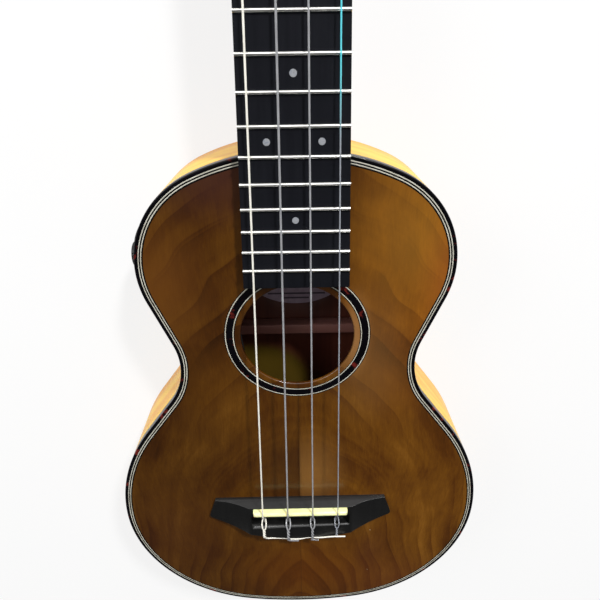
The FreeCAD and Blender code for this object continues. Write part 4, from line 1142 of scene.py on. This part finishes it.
# ---- bridge, saddle and nut
def make_bridge():
    low, high = bridge_low, bridge_high

    def outer_edge(edge):
        inside = all(abs(vert.co.x) < bridge_middle_half
                     and low.y + 1 * MM < vert.co.y < high.y - 1 * MM for vert in edge.verts)
        above = all(vert.co.z > low.z + 0.5 * MM for vert in edge.verts)
        long = edge.calc_length() > 1.3 * MM
        return above and long and not inside

    def tip_corner(edge):
        a, b = edge.verts
        upright = abs(a.co.z - b.co.z) > 0.5 * edge.calc_length()
        return upright and min(abs(a.co.x), abs(b.co.x)) > high.x - 0.5 * MM

    def block_brow(edge):
        return all(abs(vert.co.y - block_front) < 0.2 * MM
                   and vert.co.z > high.z - 0.2 * MM for vert in edge.verts)

    skin("bridge", bridge_wood, "ebony", 0.45 * MM, outer_edge, 4,
         larger=[(tip_rounding, tip_corner), (brow_rounding, block_brow)])
    skin("saddle", saddle_bone, "bone", 0.25 * MM)
    skin("nut", saddle_bone, "bone")
    skin("pickup_strip", foil, "pickup_foil", 0.15 * MM)


# ---- neck, fretboard, frets and dots
def fret_y(number):
    """Place of a fret along the scale, measured from the string end."""
    return scale_length / 2 ** (number / 12)


board_taper = (width_at_joint - nut_width) / 2 / (scale_length - fret_y(body_fret))


def board_half(y):
    return nut_width / 2 + (scale_length - y) * board_taper


def between(number):
    return (fret_y(number) + fret_y(number - 1)) / 2


def dot_solid(radius, depth):
    """A round inlay with a slightly eased edge, standing on Z."""
    ease = 0.05 * MM
    levels = [(radius, -depth), (radius, -ease), (radius - ease, 0.0)]
    turns = [2 * math.pi * k / 40 for k in range(40)]
    rings = [[(size * math.cos(turn), size * math.sin(turn), z) for turn in turns]
             for size, z in levels]
    return lofted("dot_pattern", rings, pearl_dot)


def make_dots():
    """Face dots set flush in the fretboard, and small ones in its bass edge."""
    proud = 0.03 * MM
    spots = [(0.0, between(number)) for number in dot_frets]
    for number in double_dot_frets:
        spots += [(-double_dot_spread, between(number)), (double_dot_spread, between(number))]
    face = scattered("face_dots", [((x, y, board_top + proud), (0, 0, 0)) for x, y in spots],
                     dot_solid(dot_radius, 1.0 * MM), pearl_dot)
    level = (deck + board_top) / 2
    edge_places = [((-board_half(between(number)) - proud, between(number), level),
                    (0, -math.pi / 2, 0)) for number in dot_frets + double_dot_frets]
    edge = scattered("edge_dots", edge_places, dot_solid(side_dot_radius, 0.9 * MM), pearl_dot)
    settle(joined("position_dot_inlays", [face, edge]), "position_dots", "pearl")


def make_frets():
    holder = link(bpy.data.objects.new("fret_holder", bpy.data.meshes.new("fret_holder")))
    wires = grown(fret_maker, holder, "fret_wires", fret_wire, 40.0, Taper=board_taper)
    settle(wires, "frets", "fret_wire")


def make_neck():
    board_low, board_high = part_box("fretboard")

    def board_edge(edge):
        a, b = edge.verts
        upper = min(a.co.z, b.co.z) > board_high.z - 0.1 * MM
        lengthwise = abs(a.co.y - b.co.y) > 1.2 * MM
        end = max(a.co.y, b.co.y) < board_low.y + 0.1 * MM
        return upper and (lengthwise or end)

    skin("fretboard", fretboard_wood, "ebony", 0.3 * MM, board_edge)
    skin("neck", neck_wood, "neck_wood", crease=40.0)
    skin("heel_cap", bridge_wood, "ebony", 0.4 * MM, crease=40.0)
    skin("head_veneer", top_wood, "top_wood")


# ---- machine heads, preamp and jack
def make_hardware():
    for number in "1234":
        for piece in ("housing", "worm", "button", "post"):
            plastic = piece == "button"
            skin("tuner_" + number + "_" + piece, key_plastic if plastic else nickel,
                 "button_plastic" if plastic else "nickel")
    skin("tuner_bushings", nickel, "nickel", 0.3 * MM)
    skin("tuner_screws", nickel, "nickel", 0.3 * MM)
    skin("preamp_housing", black_plastic, "black_plastic")
    skin("circuit_board", circuit, "board_green", 0.15 * MM)
    skin("volume_knob", black_plastic, "black_plastic")
    skin("tune_button", black_plastic, "black_plastic", 0.3 * MM)
    skin("battery_drawer", black_plastic, "black_plastic")
    skin("coin_cell", cell_steel, "cell_steel", 0.3 * MM)
    skin("output_jack", nickel, "nickel", 0.4 * MM)
    skin("jack_nuts", nickel, "nickel", 0.3 * MM)
    skin("pickup_leads", lead_sheath, "lead_sheath", crease=50.0)


# ---- strings: each one whole, from its knot on the bridge to the end in its post
def head_point(x, y, z):
    """A point given across, along and out of the head, in the frame."""
    turn = math.radians(head_angle)
    return Vector((x, scale_length + nut_thickness + y * math.cos(turn) + z * math.sin(turn),
                   deck - y * math.sin(turn) + z * math.cos(turn)))


def bridge_rear(x):
    """Rear edge of the bridge, an arc through its two tips."""
    sweep = (bridge_high.x ** 2 + bridge_sag ** 2) / (2 * bridge_sag)
    return bridge_low.y + sweep - math.sqrt(sweep ** 2 - x ** 2)


def rounded(corners, bends, step=6):
    """Straight runs between corners, each inner corner rounded with its own radius."""
    points = [corners[0]]
    for index, bend in enumerate(bends, 1):
        corner = corners[index]
        before = (corners[index - 1] - corner).normalized()
        after = (corners[index + 1] - corner).normalized()
        half = before.angle(after) / 2
        start = corner + before * (bend / math.tan(half))
        centre = corner + (before + after).normalized() * (bend / math.sin(half))
        end = corner + after * (bend / math.tan(half))
        first, last = start - centre, end - centre
        points += [centre + first.slerp(last, k / step).normalized() * bend
                   for k in range(step)]
        points.append(end)
    points.append(corners[-1])
    return points


def flowing(stations, step=8):
    """A smooth run through a few stations."""
    points = []
    ends = [2 * stations[0] - stations[1]] + stations + [2 * stations[-1] - stations[-2]]
    for a, b, c, d in zip(ends, ends[1:], ends[2:], ends[3:]):
        for k in range(step):
            t = k / step
            points.append(0.5 * (2 * b + (c - a) * t + (2 * a - 5 * b + 4 * c - d) * t ** 2
                                 + (3 * b - a - 3 * c + d) * t ** 3))
    points.append(stations[-1])
    return points


def knot(x, radius, twists):
    """Over the tie block, round under the string, and back twisted with itself."""
    rest = bridge_top + 2.1 * radius + 0.05 * MM
    ahead, behind = block_front - 1.6 * MM, bridge_rear(x) + 1.2 * MM

    def strand(share, phase):
        turn = 2 * math.pi * twists * share + phase
        return Vector((x + 1.05 * radius * math.cos(turn), behind + (ahead - behind) * share,
                       rest + 1.05 * radius * math.sin(turn)))

    wide = 1.15 * MM
    down = [(0.75 * wide, -0.5 * MM, 0.75 * MM), (wide, 1.0 * MM, 0.1 * MM),
            (0.8 * wide, 2.7 * MM, -2.4 * MM)]
    loop = [(-dx, dy, dz) for dx, dy, dz in down] + [(0, 3.3 * MM, -3.9 * MM)] + down[::-1]
    turns = [k / 8 for k in range(9)]
    start = math.pi * (1 - 2 * twists)
    return ([strand(share, start) for share in turns]
            + [Vector((x + dx, block_front + dy, bridge_top + dz)) for dx, dy, dz in loop]
            + [strand(share, start + math.pi) for share in reversed(turns)])


def post_of(index):
    """The head's side that a string's post stands on, and its place along the head."""
    return (-1 if index < 2 else 1), post_places[0 if index in (0, 3) else 1]


def string_line(index):
    """Every point of one string, from the free end at the bridge to the end of its windings."""
    radius = string_radii[index]
    x = (index - 1.5) * saddle_spacing
    rear = bridge_rear(x)
    tie = deck + tie_hole_height
    behind = rear - radius - 0.2 * MM
    tied = knot(x, radius, 1.5)
    tail = [Vector((x, behind, bridge_top)) + Vector(step) * MM for step in tag_ends[index]]
    rise = [Vector((x, block_front + channel_gap, tie)), Vector((x, rear, tie)),
            Vector((x - 0.2 * MM, behind, tie + 0.9 * MM)),
            Vector((x - 0.3 * MM, behind, bridge_top - 0.6 * MM)),
            Vector((x - 0.3 * MM, behind + 0.6 * MM, bridge_top + radius))]
    loose = flowing(tail[::-1] + tied[::-1] + rise[::-1])

    # over the saddle and the nut to the post
    wrap = saddle_thickness / 2 + radius + string_gap
    saddle_y = -saddle_setback
    nut_floor = fret_top + nut_seat
    crown = Vector((saddle_y, 2 * (fret_top + action) - nut_floor - saddle_thickness / 2))
    nut_place = Vector((scale_length + nut_thickness / 2, nut_floor + radius + string_gap))
    low = Vector((block_front + channel_gap, tie)) - crown
    far = nut_place - crown
    rear_turn = (math.atan2(low.y, low.x) - math.acos(wrap / low.length)) % (2 * math.pi)
    front_turn = math.atan2(far.y, far.x) + math.acos(wrap / far.length)
    peak = wrap / math.cos((rear_turn - front_turn) / 2)
    middle = (rear_turn + front_turn) / 2
    side, place = post_of(index)
    groove = post_groove_radius + winding_gap + radius
    corners = [loose[-1], Vector((x, crown.x + peak * math.cos(middle),
                                  crown.y + peak * math.sin(middle))),
               Vector(((index - 1.5) * nut_spacing, nut_place.x, nut_place.y)),
               head_point(side * (post_side - groove), place, winding_height)]
    line = loose[:-1] + rounded(corners, [wrap, 6 * MM])
    count = 24 * (winding_turns - 1)
    fall = 2 * radius + string_gap
    for step in range(1, count + 1):
        turn = 2 * math.pi * step / 24
        height = winding_height - fall * step / 24
        line.append(head_point(side * (post_side - groove * math.cos(turn)),
                               place + groove * math.sin(turn), height))
    return line


def make_strings():
    for index, name in enumerate(string_names):
        material = string_finishes[index]
        slot = "string_white" if name == "g" else "string_clear"
        radius = string_radii[index]
        settle(cord("string_" + name + "_line", string_line(index), radius, material),
               "string_" + name, slot)
        side, place = post_of(index)
        stub = [head_point(side * post_side + bend, place + reach, string_hole_height + lift)
                for bend, reach, lift in stub_ends]
        end = cord("string_" + name + "_end", stub, radius, material, smooth=True)
        post_node = "tuner_" + str(index + 1) + "_post"
        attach(end, nodes[post_node]["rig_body"])


for make in (make_body, make_bindings, make_purfling, make_rosette, make_linings, make_bridge,
             make_neck, make_frets, make_dots, make_hardware, make_strings):
    make()


# ---- studio: pale floor, soft lamps and the camera
def make_floor():
    finish = Finish("studio_floor", Roughness=0.9, Specular_IOR_Level=0.1)
    mottle = noise(finish.place, 3.0, 2.0, 0.5)
    finish.feed("Base_Color", tint(mottle, colour(238, 238, 238), colour(246, 246, 246)))
    rays = put("ShaderNodeLightPath")
    seen = calc("MAXIMUM", rays["Is Camera Ray"],
                calc("MAXIMUM", rays["Is Glossy Ray"], rays["Is Transmission Ray"]))
    glow = put("ShaderNodeEmission", {"Color": (1, 1, 1, 1), "Strength": 1.0})
    mix = put("ShaderNodeMixShader", {0: seen * 0.8, 1: Outputs(finish.shader), 2: glow})
    feed(Building.tree.nodes["Material Output"].inputs["Surface"], mix)
    shape = bmesh.new()
    bmesh.ops.create_grid(shape, x_segments=1, y_segments=1, size=4.0)
    floor = mesh_piece("studio_floor", shape, finish.material)
    for vert in floor.data.vertices:
        vert.co.z = -0.1 * MM


def make_lamp(name, place, target, size, power):
    lamp = bpy.data.lights.new(name, "AREA")
    lamp.shape = "RECTANGLE"
    lamp.size, lamp.size_y = size
    lamp.energy = power
    holder = link(bpy.data.objects.new(name, lamp))
    holder.location = place
    holder.rotation_euler = (Vector(target) - Vector(place)).to_track_quat("-Z", "Y").to_euler()


def make_light():
    world = bpy.data.worlds.new("studio")
    world.use_nodes = True
    Building.tree = world.node_tree
    # gloss sees a room that is dark overhead and bright beyond the head
    ahead = part(put("ShaderNodeTexCoord")["Generated"], "Y")
    seen = fit(ahead, -0.15, 0.85, 0.07, 1.15, smooth=True)
    rays = put("ShaderNodeLightPath")
    glossy = put("ShaderNodeMix", {0: rays["Is Glossy Ray"], 2: 0.3, 3: seen})
    strength = put("ShaderNodeMix", {0: rays["Is Camera Ray"], 2: glossy, 3: 1.0})
    backdrop = world.node_tree.nodes["Background"]
    feed(backdrop.inputs["Color"], (1, 1, 1, 1))
    feed(backdrop.inputs["Strength"], strength)
    world.cycles.sampling_method = "NONE"
    bpy.context.scene.world = world
    middle = (0, waist_y, deck)
    # the key is rather small, so it throws a round patch through the soundhole
    make_lamp("key", (0.60, 1.42, 1.01), (0, hole_y, deck), (0.16, 0.16), 28)
    make_lamp("fill", (-0.95, 0.75, 0.8), middle, (0.6, 0.6), 6)
    make_lamp("head_side", (0.0, 1.5, 0.45), middle, (1.6, 0.4), 6)


def make_camera():
    """A wide-angle camera above the tail, looking down the strings with a slight twist."""
    camera = bpy.data.cameras.new("camera")
    camera.lens = 30.52
    camera.sensor_width = 36
    camera.clip_start = 0.01
    holder = link(bpy.data.objects.new("camera", camera))
    roll = Matrix.Rotation(math.radians(0.757), 3, "Z")
    pitch = Matrix.Rotation(math.radians(26.857), 3, "X")
    yaw = Matrix.Rotation(math.radians(0.573), 3, "Y")
    facing = (roll @ pitch @ yaw).transposed()
    spot = Vector((-0.6 * MM, 229.4 * MM, deck + 206.0 * MM))
    holder.matrix_world = Matrix.Translation(spot) @ facing.to_4x4()
    bpy.context.scene.camera = holder


make_floor()
make_light()
make_camera()
bpy.context.scene.view_settings.view_transform = "Standard"
